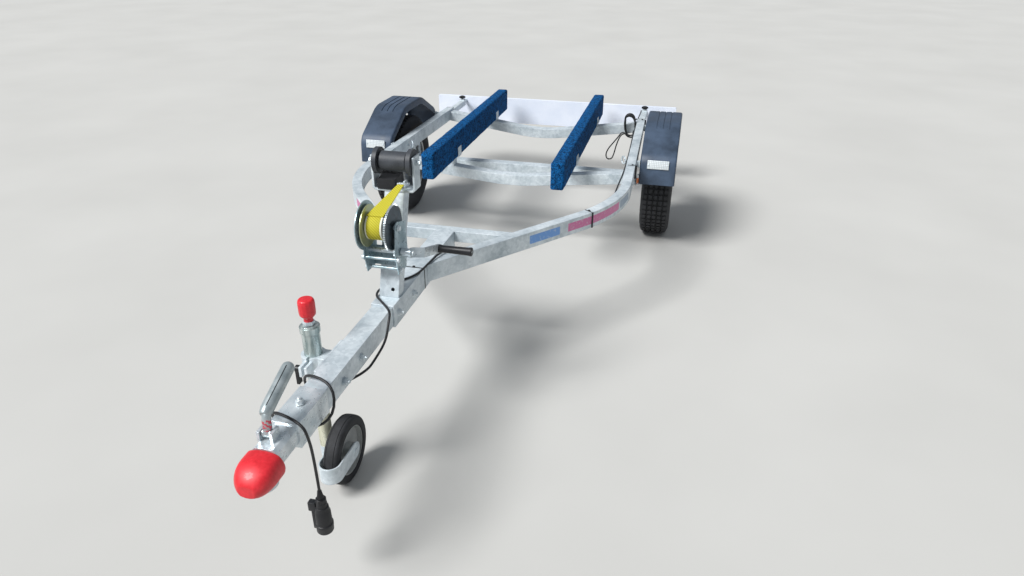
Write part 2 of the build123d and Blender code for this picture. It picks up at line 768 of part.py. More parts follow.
def roller_yoke():
    """Flat bar bent to a U, with the bow roller's pin and the lug for the strap's ring."""
    half = YOKE_HALF - STRAP_BAR_T / 2
    z = POST_TOP_Z + STRAP_BAR_T / 2
    y = POST_TOP_Y
    points = [(-half, y, z + YOKE_ARM_H), (-half, y, z), (half, y, z), (half, y, z + YOKE_ARM_H)]
    bar = swept(points, YOKE_CORNER_R, Rectangle(STRAP_BAR_D, STRAP_BAR_T), (1, 0, 0))
    pin_x = YOKE_HALF + PIN_HEAD_T
    bar += rod((-pin_x, y, ROLLER_Z), (pin_x, y, ROLLER_Z), ROLLER_PIN_R)
    eye_y, eye_z = lug_eye()
    x = (STRAP_END_X - LUG_T / 2, STRAP_END_X + LUG_T / 2)
    lug = box(x, (eye_y - LUG_R, eye_y + LUG_R), (POST_TOP_Z + STRAP_BAR_T, eye_z + LUG_R))
    return bar + lug - rod((x[0], eye_y, eye_z), (x[1], eye_y, eye_z), RING_T / 2 + LUG_HOLE_GAP)


def lug_eye():
    """Middle of the hole in the yoke's lug."""
    return POST_TOP_Y + 2, POST_TOP_Z + STRAP_BAR_T + 12


def bow_roller():
    """Rubber roller with a flange at each end, set off by a groove."""
    half = YOKE_HALF - STRAP_BAR_T - ROLLER_END_GAP
    flange = half - ROLLER_FLANGE_W
    neck = flange - ROLLER_NECK_W
    bore = ROLLER_PIN_R + RUNNING_GAP
    side = (
        (half, bore), (half, ROLLER_FLANGE_R), (flange, ROLLER_FLANGE_R), (flange, ROLLER_NECK_R),
        (neck, ROLLER_NECK_R), (neck, ROLLER_R),
    )
    outline = [*side, *[(-x, radius) for x, radius in reversed(side)]]
    return Pos(0, POST_TOP_Y, ROLLER_Z) * revolved(outline)


def bow_stop():
    x = (STOP_X - STOP_W / 2, STOP_X + STOP_W / 2)
    z0 = POST_TOP_Z + STRAP_BAR_T
    return box(x, (POST_TOP_Y - STOP_D / 2, POST_TOP_Y + STOP_D / 2), (z0, z0 + STOP_H))


# Winch


def toothed(teeth, thickness, phase):
    """Spur gear about the X axis, with straight-sided teeth, from x = 0 towards +X."""
    pitch_r = MODULE * teeth / 2
    root_r = pitch_r - DEDENDUM * MODULE
    tip_r = pitch_r + ADDENDUM * MODULE
    step = 2 * pi / teeth
    base = step * TOOTH_ROOT_SHARE / 2
    tip = step * TOOTH_TIP_SHARE / 2
    points = []
    for index in range(teeth):
        middle = index * step + phase
        for radius, offset in ((root_r, -base), (tip_r, -tip), (tip_r, tip), (root_r, base)):
            points.append((radius * cos(middle + offset), radius * sin(middle + offset)))
    return extrude(Plane.YZ * make_face(Polyline(*points, close=True)), amount=thickness)


def crank_axis():
    """Place of the pinion below the drum, at the mesh distance of the two gears."""
    reach = MODULE * (GEAR_TEETH + PINION_TEETH) / 2
    return WINCH_Y + CRANK_SWING * reach, WINCH_Z - sqrt(1 - CRANK_SWING ** 2) * reach


def mesh_angle():
    y, z = crank_axis()
    return atan2(z - WINCH_Z, y - WINCH_Y)


def drum_gear():
    """Big gear with one tooth on the line to the pinion."""
    gear = Pos(GEAR_X, WINCH_Y, WINCH_Z) * toothed(GEAR_TEETH, GEAR_T, mesh_angle())
    x0 = DRUM_LEFT_X
    core = rod((x0, WINCH_Y, WINCH_Z), (GEAR_X, WINCH_Y, WINCH_Z), DRUM_CORE_R)
    for x in (x0, GEAR_X - DRUM_FLANGE_T):
        core += rod((x, WINCH_Y, WINCH_Z), (x + DRUM_FLANGE_T, WINCH_Y, WINCH_Z), DRUM_FLANGE_R)
    bore = rod((x0, WINCH_Y, WINCH_Z), (GEAR_X + GEAR_T, WINCH_Y, WINCH_Z), DRUM_BORE_R + RUNNING_GAP)
    return gear + core - bore


def strap_x():
    return DRUM_LEFT_X + DRUM_FLANGE_T + STRAP_SIDE_GAP


def strap_roll():
    x0 = strap_x()
    return pipe((x0, WINCH_Y, WINCH_Z), (x0 + STRAP_W, WINCH_Y, WINCH_Z), STRAP_ROLL_R, DRUM_CORE_R)


def winch_frame():
    """Two side plates on a back plate against the leaning post; the left one guards the drum."""
    z0 = WINCH_FOOT_Z
    back = [(post_y(z) - POST_D / 2, z) for z in (z0, PLATE_BACK_Z)]
    y, z = crank_axis()
    front = y - PLATE_FRONT
    eye = [(WINCH_Y, WINCH_Z + PLATE_EYE_R), (WINCH_Y - PLATE_EYE_R, WINCH_Z)]
    outline = [*back, (back[1][0], WINCH_Z), *eye, (front - PLATE_BELLY, z), (front, z0)]
    ends = (PLATE_LEFT_X, PLATE_RIGHT_X + PLATE_T)
    body = side_plate(outline, PLATE_LEFT_X, PLATE_T) + side_plate(outline, PLATE_RIGHT_X, PLATE_T)
    body += rod((PLATE_RIGHT_X, WINCH_Y, WINCH_Z), (ends[1], WINCH_Y, WINCH_Z), PLATE_EYE_R)
    body += rod((ends[0], WINCH_Y, WINCH_Z), (ends[0] + PLATE_T, WINCH_Y, WINCH_Z), PLATE_GUARD_R)
    body -= side_plate(post_outline(0), ends[0], PLATE_T)
    plate = [*back, *[(back_y - PLATE_T, back_z) for back_y, back_z in reversed(back)]]
    body += side_plate(plate, ends[0], ends[1] - ends[0])
    rods = ((front + ROD_IN, z0 + ROD_IN, 0), (front - ROD_IN / 2, z - ROD_IN, 0), (WINCH_Y, WINCH_Z, ROD_IN / 2))
    for rod_y, rod_z, past in rods:
        body += rod((ends[0] - past, rod_y, rod_z), (ends[1] + past, rod_y, rod_z), ROD_R)
    body += rod((ends[0], WINCH_Y, WINCH_Z), (ends[1], WINCH_Y, WINCH_Z), DRUM_BORE_R)
    return body - rod((ends[0], y, z), (ends[1], y, z), CRANK_SHAFT_R + RUNNING_GAP)


def crank_arm():
    """Flat arm along +Y from the shaft, set outwards past its first stretch."""
    x0, x1 = CRANK_X, CRANK_X + CRANK_T
    near, far = CRANK_SET_ALONG
    end = CRANK_LEN + CRANK_W
    outline = [
        (x0, -end), (x1, -end), (x1, near), (x1 + CRANK_SET, far),
        (x1 + CRANK_SET, end), (x0 + CRANK_SET, end), (x0 + CRANK_SET, far + CRANK_T / 2), (x0, near + CRANK_T / 2),
    ]
    strip = extrude(make_face(Polyline(*outline, close=True)), amount=CRANK_W / 2, both=True)
    width = x1 + CRANK_SET - x0
    form = Pos(x0 + width / 2, CRANK_LEN / 2, 0) * Box(width, CRANK_LEN, CRANK_W)
    for along in (0, CRANK_LEN):
        form += rod((x0, along, 0), (x0 + width, along, 0), CRANK_W / 2)
    return strip & form


def winch_crank():
    """Pinion shaft with the flat crank arm on its right-hand end."""
    y, z = crank_axis()
    half_step = pi / PINION_TEETH
    pinion = toothed(PINION_TEETH, PINION_T, mesh_angle() + pi + half_step)
    body = Pos(GEAR_X + (GEAR_T - PINION_T) / 2, y, z) * pinion
    body += rod((PLATE_LEFT_X - SHAFT_PAST, y, z), (CRANK_X + CRANK_T + SHAFT_PAST, y, z), CRANK_SHAFT_R)
    body += rod((PLATE_RIGHT_X + 2 * PLATE_T, y, z), (CRANK_X, y, z), CRANK_NUT_R)
    grip_x = CRANK_X + CRANK_SET
    pin = rod((grip_x, CRANK_LEN, 0), (grip_x + CRANK_T + GRIP_L, CRANK_LEN, 0), GRIP_CORE_R - SEAT_GAP)
    return body + Pos(0, y, z) * Rot(-CRANK_DROP, 0, 0) * (crank_arm() + pin)


def crank_grip():
    y, z = crank_axis()
    x0 = CRANK_X + CRANK_SET + CRANK_T + SEAT_GAP
    grip = pipe((x0, CRANK_LEN, 0), (x0 + GRIP_L, CRANK_LEN, 0), GRIP_R, GRIP_CORE_R)
    return Pos(0, y, z) * Rot(-CRANK_DROP, 0, 0) * grip


def strap_start():
    """Where the strap leaves its roll, at the tangent towards the bow yoke."""
    dy = STRAP_END_Y - WINCH_Y
    dz = STRAP_END_Z - WINCH_Z
    reach = sqrt(dy * dy + dz * dz)
    radius = STRAP_ROLL_R + SEAT_GAP + STRAP_T / 2
    angle = atan2(dz, dy) + pi / 2 - asin(radius / reach)
    return WINCH_Y + radius * cos(angle), WINCH_Z + radius * sin(angle)


def strap_tail():
    """Free strap from the roll to the ring, narrowed where it is sewn."""
    y0, z0 = strap_start()
    start = Vector(strap_x() + STRAP_W / 2, y0, z0)
    end = Vector(STRAP_END_X, STRAP_END_Y, STRAP_END_Z)
    along = (Vector(0, end.Y - start.Y, end.Z - start.Z)).normalized()
    normal = along.cross(Vector(1, 0, 0))
    length = sqrt((end.Y - start.Y) ** 2 + (end.Z - start.Z) ** 2)
    plane = Plane(origin=(0, start.Y, start.Z), x_dir=(1, 0, 0), z_dir=normal)
    sign = 1 if plane.y_dir.dot(along) > 0 else -1
    outline = [
        (start.X - STRAP_W / 2, 0), (start.X + STRAP_W / 2, 0),
        (end.X + STRAP_END_W / 2, sign * length), (end.X - STRAP_END_W / 2, sign * length),
    ]
    face = plane * make_face(Polyline(*outline, close=True))
    return extrude(face, amount=STRAP_T / 2, both=True)


def strap_ring():
    """Flat oblong ring that ties the strap's end to the yoke's lug."""
    eye_y, eye_z = lug_eye()
    front = Vector(STRAP_END_X, STRAP_END_Y + RING_W / 2 + RING_SEAT, STRAP_END_Z)
    rear = Vector(STRAP_END_X, eye_y, eye_z)
    along = (rear - front).normalized()
    length = (rear - front).length + RING_W
    width = STRAP_END_W + 2 * RING_W
    plane = Plane(origin=(front + rear) * 0.5, x_dir=(1, 0, 0), z_dir=Vector(1, 0, 0).cross(along))
    outer = RectangleRounded(width, length, RING_W)
    inner = Rectangle(width - 2 * RING_W, length - 2 * RING_W)
    return extrude(plane * (outer - inner), amount=RING_T / 2, both=True)


# Coupling


def coupling_body():
    """Pressed shank over the drawbar tube, neck and ball housing."""
    half = INNER_BAR_W / 2 + SEAT_GAP
    z1 = BAR_Z + INNER_BAR_W / 2 + SEAT_GAP
    z0 = BAR_Z - INNER_BAR_W / 2
    y = (SHANK_FRONT_Y, SHANK_REAR_Y)
    shank = box((-half - SHANK_T, half + SHANK_T), y, (z0, z1 + SHANK_T))
    shank -= box((-half, half), (INNER_BAR_FRONT_Y - SEAT_GAP, SHANK_REAR_Y + 1), (z0 - 1, z1))
    shank -= box((-half, half), (SHANK_FRONT_Y + SHANK_T, INNER_BAR_FRONT_Y), (z0 - 1, z1))
    neck = box((-NECK_W / 2, NECK_W / 2), (COVER_REAR_Y + SEAT_GAP, SHANK_FRONT_Y), (NECK_Z0, NECK_TOP))
    neck = chamfer(neck.edges().filter_by(Axis.Y), NECK_CHAMFER)
    head_r = SOCKET_R + SOCKET_WALL
    head = Pos(0, BALL_Y, BALL_Z) * Sphere(head_r) + rod((0, BALL_Y, BALL_Z - SOCKET_DEPTH), (0, BALL_Y, BALL_Z), head_r)
    socket = Pos(0, BALL_Y, BALL_Z) * Sphere(SOCKET_R) + rod((0, BALL_Y, BALL_Z - 2 * head_r), (0, BALL_Y, BALL_Z), SOCKET_R)
    slot = LEVER_R + LEVER_GAP
    ear_x = (LEVER_X - slot - EAR_T, LEVER_X + slot + EAR_T)
    ear_y = (LEVER_PIVOT_Y - EAR_L / 2, LEVER_PIVOT_Y + EAR_L / 2)
    ears = box(ear_x, ear_y, (NECK_TOP, LEVER_PIVOT_Z + 2 * LEVER_PIN_R))
    ears -= box((LEVER_X - slot, LEVER_X + slot), ear_y, (NECK_TOP, LEVER_PIVOT_Z + EAR_L))
    pin = rod((ear_x[0], LEVER_PIVOT_Y, LEVER_PIVOT_Z), (ear_x[1], LEVER_PIVOT_Y, LEVER_PIVOT_Z), LEVER_PIN_R)
    below = box((-2 * head_r, 2 * head_r), (BALL_Y - 2 * head_r, BALL_Y + 2 * head_r), (BALL_Z - 3 * head_r, BALL_Z - SOCKET_DEPTH))
    return shank + neck + ears + pin + head - socket - below


def coupling_lever():
    """Bent round bar, turned by a cross bush on the pin between the ears."""
    x = LEVER_X
    y, z = LEVER_PIVOT_Y, LEVER_PIVOT_Z
    bar = swept([(x, y, z), (x, LEVER_KNEE_Y, LEVER_KNEE_Z), (x, LEVER_END_Y, LEVER_END_Z)], LEVER_BEND_R,
                Circle(LEVER_R), (1, 0, 0))
    bar += rod((x - LEVER_R, y, z), (x + LEVER_R, y, z), LEVER_R)
    return bar - rod((x - LEVER_R, y, z), (x + LEVER_R, y, z), LEVER_PIN_R + RUNNING_GAP)


def cover_form():
    """Rounded nose of the cover, before it is hollowed."""
    block = box((-COVER_HALF_W, COVER_HALF_W), (COVER_FRONT_Y, COVER_REAR_Y), (COVER_FOOT, COVER_TOP))
    nose = block.edges().filter_by(Axis.Z).sort_by(Axis.Y)[:2]
    block = fillet(nose, COVER_NOSE_R)
    crown = block.faces().sort_by(Axis.Z)[-1].edges()
    rear = crown.sort_by(Axis.Y)[-1]
    return fillet([edge for edge in crown if edge != rear], COVER_CROWN_R)


def coupling_cover():
    """Thick soft cover seated on the ball housing."""
    fit = SOCKET_R + SOCKET_WALL + SEAT_GAP
    ball = Pos(0, BALL_Y, BALL_Z) * Sphere(fit)
    return cover_form() - ball - rod((0, BALL_Y, COVER_FOOT), (0, BALL_Y, BALL_Z), fit)


# Jockey wheel


def jockey_tube():
    x, y = JOCKEY_X, JOCKEY_Y
    inner = JOCKEY_TUBE_R - JOCKEY_TUBE_WALL
    body = pipe((x, y, JOCKEY_TUBE_Z0), (x, y, JOCKEY_TUBE_TOP), JOCKEY_TUBE_R, inner)
    top = JOCKEY_TUBE_TOP
    body += pipe((x, y, top - JOCKEY_COLLAR_H), (x, y, top), JOCKEY_COLLAR_R, inner)
    body += rod((x, y, top - JOCKEY_COLLAR_H), (x, y, top + KNOB_GAP), JOCKEY_TUBE_R - JOCKEY_TUBE_WALL / 2)
    return body + rod((x, y, LEG_TOP - SPINDLE_LAP), (x, y, top), SPINDLE_R)


def jockey_knob():
    """Tapered hand knob on a narrower neck."""
    z1 = KNOB_NECK_H + KNOB_H
    outline = [
        (0, 0), (KNOB_NECK_R, 0), (KNOB_NECK_R, KNOB_NECK_H), (KNOB_R * 0.85, KNOB_NECK_H + KNOB_H * 0.15),
        (KNOB_R, z1 - KNOB_H * 0.3), (KNOB_R * 0.92, z1 - KNOB_H * 0.12), (KNOB_R * 0.65, z1), (0, z1),
    ]
    face = Plane.XZ * make_face(Polyline(*outline, close=True))
    return Pos(JOCKEY_X, JOCKEY_Y, JOCKEY_TUBE_TOP + KNOB_GAP) * revolve(face, axis=Axis.Z)


def jockey_leg():
    x, y = JOCKEY_X, JOCKEY_Y
    body = pipe((x, y, LEG_Z0), (x, y, LEG_TOP), LEG_R, LEG_R - LEG_WALL)
    body += pipe((x, y, LEG_TOP - LEG_NUT_H), (x, y, LEG_TOP), LEG_R, SPINDLE_R + RUNNING_GAP)
    return body + pipe((x, y, LEG_Z0), (x, y, LEG_Z0 + SWIVEL_UP), LEG_R, SWIVEL_R + RUNNING_GAP)


def jockey_fork():
    """Pressed yoke round the front of the wheel, on a swivel pin in the leg."""
    x, y = JOCKEY_X, JOCKEY_Y
    yoke_z = (JWHEEL_R - YOKE_END_R, JWHEEL_R + YOKE_END_R)
    boss_z = (yoke_z[0] + YOKE_SIDE_GAP, LEG_Z0 - SEAT_GAP)
    boss = rod((x, y, boss_z[0]), (x, y, boss_z[1]), LEG_R)
    boss += rod((x, y, boss_z[1]), (x, y, LEG_Z0 + SWIVEL_UP - SEAT_GAP), SWIVEL_R)
    half = JWHEEL_W / 2 + YOKE_SIDE_GAP
    side = half + YOKE_T
    centre_y = JWHEEL_Y - JWHEEL_R - 3 * YOKE_SIDE_GAP + half
    body = extrude(Pos(0, 0, yoke_z[0]) * arch_plan(side, centre_y, JWHEEL_Y), amount=2 * YOKE_END_R)
    body += rod((JWHEEL_X - side, JWHEEL_Y, JWHEEL_R), (JWHEEL_X + side, JWHEEL_Y, JWHEEL_R), YOKE_END_R)
    body += box((x, JWHEEL_X - half), (y - LEG_R / 2, y + LEG_R / 2), boss_z)
    inside = arch_plan(half, centre_y, JWHEEL_Y + 2 * YOKE_END_R)
    body -= extrude(Pos(0, 0, yoke_z[0]) * inside, amount=2 * YOKE_END_R)
    body -= rod((x, y, boss_z[1]), (x, y, yoke_z[1]), LEG_R + YOKE_NOTCH_GAP)
    pin_x = side + YOKE_T
    axle = rod((JWHEEL_X - pin_x, JWHEEL_Y, JWHEEL_R), (JWHEEL_X + pin_x, JWHEEL_Y, JWHEEL_R), JAXLE_R)
    return body + boss + axle


def arch_plan(half, centre_y, rear_y):
    """Plan of an arch, round in front and open to the rear."""
    block = Pos(JWHEEL_X, (centre_y + rear_y) / 2) * Rectangle(2 * half, rear_y - centre_y)
    return Pos(JWHEEL_X, centre_y) * Circle(half) + block


def jockey_rim():
    body = rod((-JWHEEL_W / 2, 0, 0), (JWHEEL_W / 2, 0, 0), JWHEEL_HUB_R)
    body += rod((-JWHEEL_WEB_T / 2, 0, 0), (JWHEEL_WEB_T / 2, 0, 0), JTYRE_RIM_R)
    half = JWHEEL_W / 2 - RIM_WALL
    body += pipe((-half, 0, 0), (half, 0, 0), JTYRE_RIM_R, JTYRE_RIM_R - RIM_WALL)
    body -= rod((-JWHEEL_W, 0, 0), (JWHEEL_W, 0, 0), JAXLE_R + RUNNING_GAP)
    return Pos(JWHEEL_X, JWHEEL_Y, JWHEEL_R) * body


def jockey_tyre():
    half = JWHEEL_W / 2
    crown = half - JTYRE_CHAMFER
    side = ((half, JTYRE_RIM_R), (half, JWHEEL_R - JTYRE_CHAMFER), (crown, JWHEEL_R))
    outline = [*side, *[(-x, radius) for x, radius in reversed(side)]]
    return Pos(JWHEEL_X, JWHEEL_Y, JWHEEL_R) * revolved(outline)


def jockey_clamp():
    """Split clamp round the tube, on a plate bolted to the left of the drawbar."""
    x, y = JOCKEY_X, JOCKEY_Y
    z = (CLAMP_Z0, CLAMP_TOP)
    side = -INNER_BAR_W / 2 - CLAMP_PLATE_T
    bore = JOCKEY_TUBE_R + RUNNING_GAP
    block_y = (y - JOCKEY_TUBE_R, y + JOCKEY_TUBE_R)
    body = rod((x, y, z[0]), (x, y, z[1]), CLAMP_R) + box((x, side), block_y, z)
    plate_y = (CLAMP_PLATE_Y - CLAMP_PLATE_L / 2, CLAMP_PLATE_Y + CLAMP_PLATE_L / 2)
    body += box((side, side + CLAMP_PLATE_T), plate_y, (CLAMP_PLATE_Z0, BAR_Z + INNER_BAR_W / 2))
    half = CLAMP_SPLIT / 2 + CLAMP_EAR_T
    ear_y = (y - CLAMP_R - CLAMP_EAR_L, y)
    body += box((x - half, x + half), ear_y, (z[0] + CLAMP_EAR_T, z[1] - CLAMP_EAR_T))
    body -= box((x - CLAMP_SPLIT / 2, x + CLAMP_SPLIT / 2), ear_y, z)
    return body - rod((x, y, z[0]), (x, y, z[1]), bore)


def clamp_toggle():
    """Folded hand lever on the cross bolt through the clamp's ears."""
    x = JOCKEY_X - CLAMP_SPLIT / 2 - CLAMP_EAR_T
    y = JOCKEY_Y - CLAMP_R - CLAMP_EAR_L / 2
    z = (CLAMP_Z0 + CLAMP_TOP) / 2
    half = TOGGLE_W / 2
    boss = rod((x - TOGGLE_W, y, z), (x, y, z), TOGGLE_R * 2)
    return boss + box((x - TOGGLE_W, x - half), (y - half, y + half), (z - TOGGLE_L, z))


# Light board


def light_board():
    z = (BOARD_TOP - BOARD_H, BOARD_TOP)
    y = (BOARD_Y, BOARD_Y + BOARD_T)
    board = box((-BOARD_HALF, BOARD_HALF), y, z)
    board = fillet(board.edges().filter_by(Axis.Y), BOARD_CORNER_R)
    half = BOARD_HALF - BOARD_WALL
    return board - box((-half, half), (y[0] + BOARD_WALL, y[1]), (z[0] + BOARD_WALL, z[1] - BOARD_WALL))


def arm_x():
    return rail_half_width(RAIL_REAR_Y)


def board_arms():
    """Square arms out of the rails, each with an upright that carries the board."""
    x = arm_x()
    half = ARM_SECTION / 2
    z = RAIL_TOP - RAIL_H / 2
    run = box((x - half, x + half), (RAIL_REAR_Y - ARM_INSIDE, ARM_POST_Y + half), (z - half, z + half))
    post = box((x - half, x + half), (ARM_POST_Y - half, ARM_POST_Y + half), (z - half, ARM_POST_TOP))
    tie = rod((x, ARM_POST_Y, z), (x, BOARD_Y, z), KNOB_SCREW_R * 2)
    screw = rod((x, ARM_POST_Y, ARM_POST_TOP), (x, ARM_POST_Y, ARM_POST_TOP + KNOB_UP), KNOB_SCREW_R)
    return both_sides(run + post + tie + screw)


def board_knobs():
    x = arm_x()
    reach = STAR_R - STAR_LOBE_R
    star = Circle(reach)
    for index in range(STAR_POINTS):
        angle = 360 * index / STAR_POINTS
        star += Rot(0, 0, angle) * Pos(reach, 0) * Circle(STAR_LOBE_R)
    return both_sides(Pos(x, ARM_POST_Y, ARM_POST_TOP + KNOB_UP) * extrude(star, amount=STAR_H))


def tail_lamps():
    x1 = BOARD_HALF - LAMP_IN + LAMP_W / 2
    z = BOARD_TOP - BOARD_H / 2
    y = BOARD_Y + BOARD_WALL
    lamp = box((x1 - LAMP_W, x1), (y, y + LAMP_T), (z - LAMP_H / 2, z + LAMP_H / 2))
    lamp = fillet(lamp.edges().filter_by(Axis.Y), BOARD_CORNER_R)
    return both_sides(lamp)


def number_plate():
    z = BOARD_TOP - BOARD_H / 2
    y = BOARD_Y + BOARD_WALL
    return box((-PLATE_W / 2, PLATE_W / 2), (y, y + BOARD_WALL), (z - PLATE_H / 2, z + PLATE_H / 2))


# Cables


def cord(points, longest=CABLE_BEND):
    """Round cable along straight runs, with as large an arc at each corner as its shorter run allows."""
    corners = [Vector(*point) for point in points]
    radii = []
    for before, corner, after in zip(corners, corners[1:], corners[2:]):
        turn = radians((corner - before).get_angle(after - corner))
        run = min((corner - before).length, (after - corner).length)
        radii.append(min(longest, CABLE_SHARE * run / tan(turn / 2)))
    path = FilletPolyline(*points, radius=radii)
    tube = sweep(Plane(origin=path @ 0, z_dir=path % 0) * Circle(CABLE_R), path=path)
    share = tube.volume / (pi * CABLE_R ** 2 * path.length)
    print("cable", round(path.length), "mm, radii", [round(radius) for radius in radii], round(share, 4))
    return tube


def from_base(route, y, z):
    return [(point_x, y + along, z + up) for point_x, along, up in route]


def beside_rail(y):
    """Plan place beside the inner face of the right rail's straight rear stretch."""
    return rail_half_width(y) - RAIL_W / 2 - CABLE_R - RAIL_CABLE_GAP


def rail_cable_route():
    """Along the inside of the rail, under the front crossbar and up to the drawbar's top."""
    slope = tan(radians(RAIL_NOSE_ANGLE))
    aside = (RAIL_W / 2 + CABLE_R + RAIL_CABLE_GAP) / cos(radians(RAIL_NOSE_ANGLE))
    knee_x = beside_rail(RAIL_KNEE_Y)
    knee_y = RAIL_CROSS_Y + (knee_x + aside) / slope
    near_y = CROSSBAR_Y + 2 * CROSSBAR_SIZE
    near_x = (near_y - RAIL_CROSS_Y) * slope - aside
    return [
        (beside_rail(RAIL_CABLE_Y), RAIL_CABLE_Y, RAIL_CABLE_Z),
        (knee_x, knee_y, RAIL_CABLE_Z),
        (near_x, near_y, RAIL_CABLE_Z),
        *from_base(RISE_ROUTE, RAIL_CROSS_Y, BAR_Z),
        (TIE_X, TIE_Y, TOP_CABLE_Z),
    ]


def front_cable_route():
    return [(TIE_X, TIE_Y, TOP_CABLE_Z), *from_base(FRONT_ROUTE, OUTER_BAR_FRONT_Y, BAR_Z)]


def plug():
    """Trailer plug hanging from the cable's end, with its latch on the left."""
    x, y, z = front_cable_route()[-1]
    collar = -PLUG_GLAND - PLUG_COLLAR
    outline = [
        (0, 0), (2 * CABLE_R, 0), (4 * CABLE_R, -PLUG_GLAND), (PLUG_R - CABLE_R, -PLUG_GLAND),
        (PLUG_R - CABLE_R, collar), (PLUG_R, collar), (PLUG_R, collar - PLUG_BODY), (0, collar - PLUG_BODY),
    ]
    body = revolve(Plane.XZ * make_face(Polyline(*outline, close=True)), axis=Axis.Z)
    half = PLUG_LATCH / 2
    body += box((-PLUG_R - PLUG_LATCH, 0), (-half, half), (collar - 2 * PLUG_LATCH, -PLUG_GLAND))
    return Pos(x, y, z) * body


def hank_route():
    """Upright turns from the rear forwards, down on the right and up on the left."""
    plan = []
    for half_w, half_h in HANK_TURNS:
        plan += [(half_w + HANK_BULGE, 0.0), *turn_arc(half_w, half_h, -1)]
        plan += [(-half_w - HANK_BULGE, 0.0), *turn_arc(half_w, half_h, 1)]
    half_w, half_h = HANK_TURNS[0]
    plan += [(half_w + HANK_BULGE, 0.0), *turn_arc(half_w, half_h, -1)[:-1]]
    points = []
    step = HANK_PITCH * len(HANK_TURNS) / (len(plan) - len(HANK_ARC))
    for index, (across, up) in enumerate(plan):
        points.append((HANK_X + across - HANK_LEAN * up, HANK_Y - step * index, HANK_Z + up))
    return points


def turn_arc(half_w, half_h, side):
    """Corners of one turn's top or bottom, in the order the turn takes them."""
    straight = half_h - half_w
    corners = [(half_w * cos(radians(a)), half_w * sin(radians(a)) + straight) for a in HANK_ARC]
    if side < 0:
        return [(across, -up) for across, up in corners]
    return corners[::-1]


def rear_cable_route():
    """From the light board along its arm, through the hank and a loose bight, to the rail."""
    z = RAIL_TOP - RAIL_H / 2
    bight = [(HANK_X + across, HANK_Y + along, HANK_Z + up) for across, along, up in BIGHT_ROUTE]
    end = [(beside_rail(y), y, RAIL_CABLE_Z) for y in (RAIL_CABLE_Y + CABLE_BEND, RAIL_CABLE_Y)]
    return [*from_base(ARM_ROUTE, RAIL_REAR_Y, z), *hank_route(), *bight, *end]


def shift_y():
    """Moves the middle of the whole trailer's length to Y = 0."""
    nose = COVER_FRONT_Y
    tail = BOARD_Y + BOARD_WALL + LAMP_T
    return -(nose + tail) / 2


def all_nodes():
    nodes = {
        "drawbar_outer": outer_drawbar(),
        "drawbar_inner": inner_drawbar(),
        "rail_right": right_rail(),
        "rail_left": mirror(right_rail(), about=Plane.YZ),
        "rail_caps": rail_caps(),
        "front_crossbar": front_crossbar(),
        "front_bunk_member": front_member(),
        "rear_bunk_member": rear_member(),
        "bunk_saddles": bunk_saddles(),
        "bunk_left": bunk(-1),
        "bunk_right": bunk(1),
        "axle_beam": axle_beam(),
        "axle_brackets": axle_brackets(),
        "swing_arms": swing_arms(),
        "mudguard_left": mudguard(-1),
        "mudguard_right": mudguard(1),
        "mudguard_stays": mudguard_stays(),
        "front_reflectors": front_reflectors(),
        "side_markers": side_markers(),
        "winch_post": winch_post(),
        "roller_yoke": roller_yoke(),
        "bow_roller": bow_roller(),
        "bow_stop": bow_stop(),
        "winch_frame": winch_frame(),
        "winch_drum": drum_gear(),
        "strap_roll": strap_roll(),
        "strap_tail": strap_tail(),
        "strap_ring": strap_ring(),
        "winch_crank": winch_crank(),
        "crank_grip": crank_grip(),
        "coupling_body": coupling_body(),
        "coupling_lever": coupling_lever(),
        "coupling_cover": coupling_cover(),
        "jockey_clamp": jockey_clamp(),
        "clamp_toggle": clamp_toggle(),
        "jockey_tube": jockey_tube(),
        "jockey_knob": jockey_knob(),
        "jockey_leg": jockey_leg(),
        "jockey_fork": jockey_fork(),
        "jockey_rim": jockey_rim(),
        "jockey_tyre": jockey_tyre(),
        "light_board": light_board(),
        "board_arms": board_arms(),
        "board_knobs": board_knobs(),
        "tail_lamps": tail_lamps(),
        "number_plate": number_plate(),
        "cable_rail": cord(rail_cable_route(), RAIL_BEND_R),
        "cable_front": cord(front_cable_route()),
        "cable_rear": cord(rear_cable_route()),
        "plug": plug(),
    }
    for side, name in ((-1, "left"), (1, "right")):
        nodes["tyre_" + name] = on_wheel(tyre(), side)
        nodes["rim_" + name] = on_wheel(rim(), side)
        nodes["hub_" + name] = on_wheel(hub(), side)
    return nodes


os.makedirs("parts", exist_ok=True)
for node_name, shape in all_nodes().items():
    placed = Pos(0, shift_y(), 0) * shape
    export_step(placed, os.path.join("parts", node_name + ".step"))
print("shift along Y", round(shift_y(), 3))
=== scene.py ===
# %% [markdown]
# # A small boat trailer in Blender
#
# The CAD model of the trailer is loaded as a fixed frame. This script gives its parts their finishes
# and adds what a drawing of solids leaves out: tread, carpet, bolts, lamps and cables.
# Every piece is in metres and stands in the same place as on the CAD model.

import json
import math

import bpy
from mathutils import Matrix, Vector


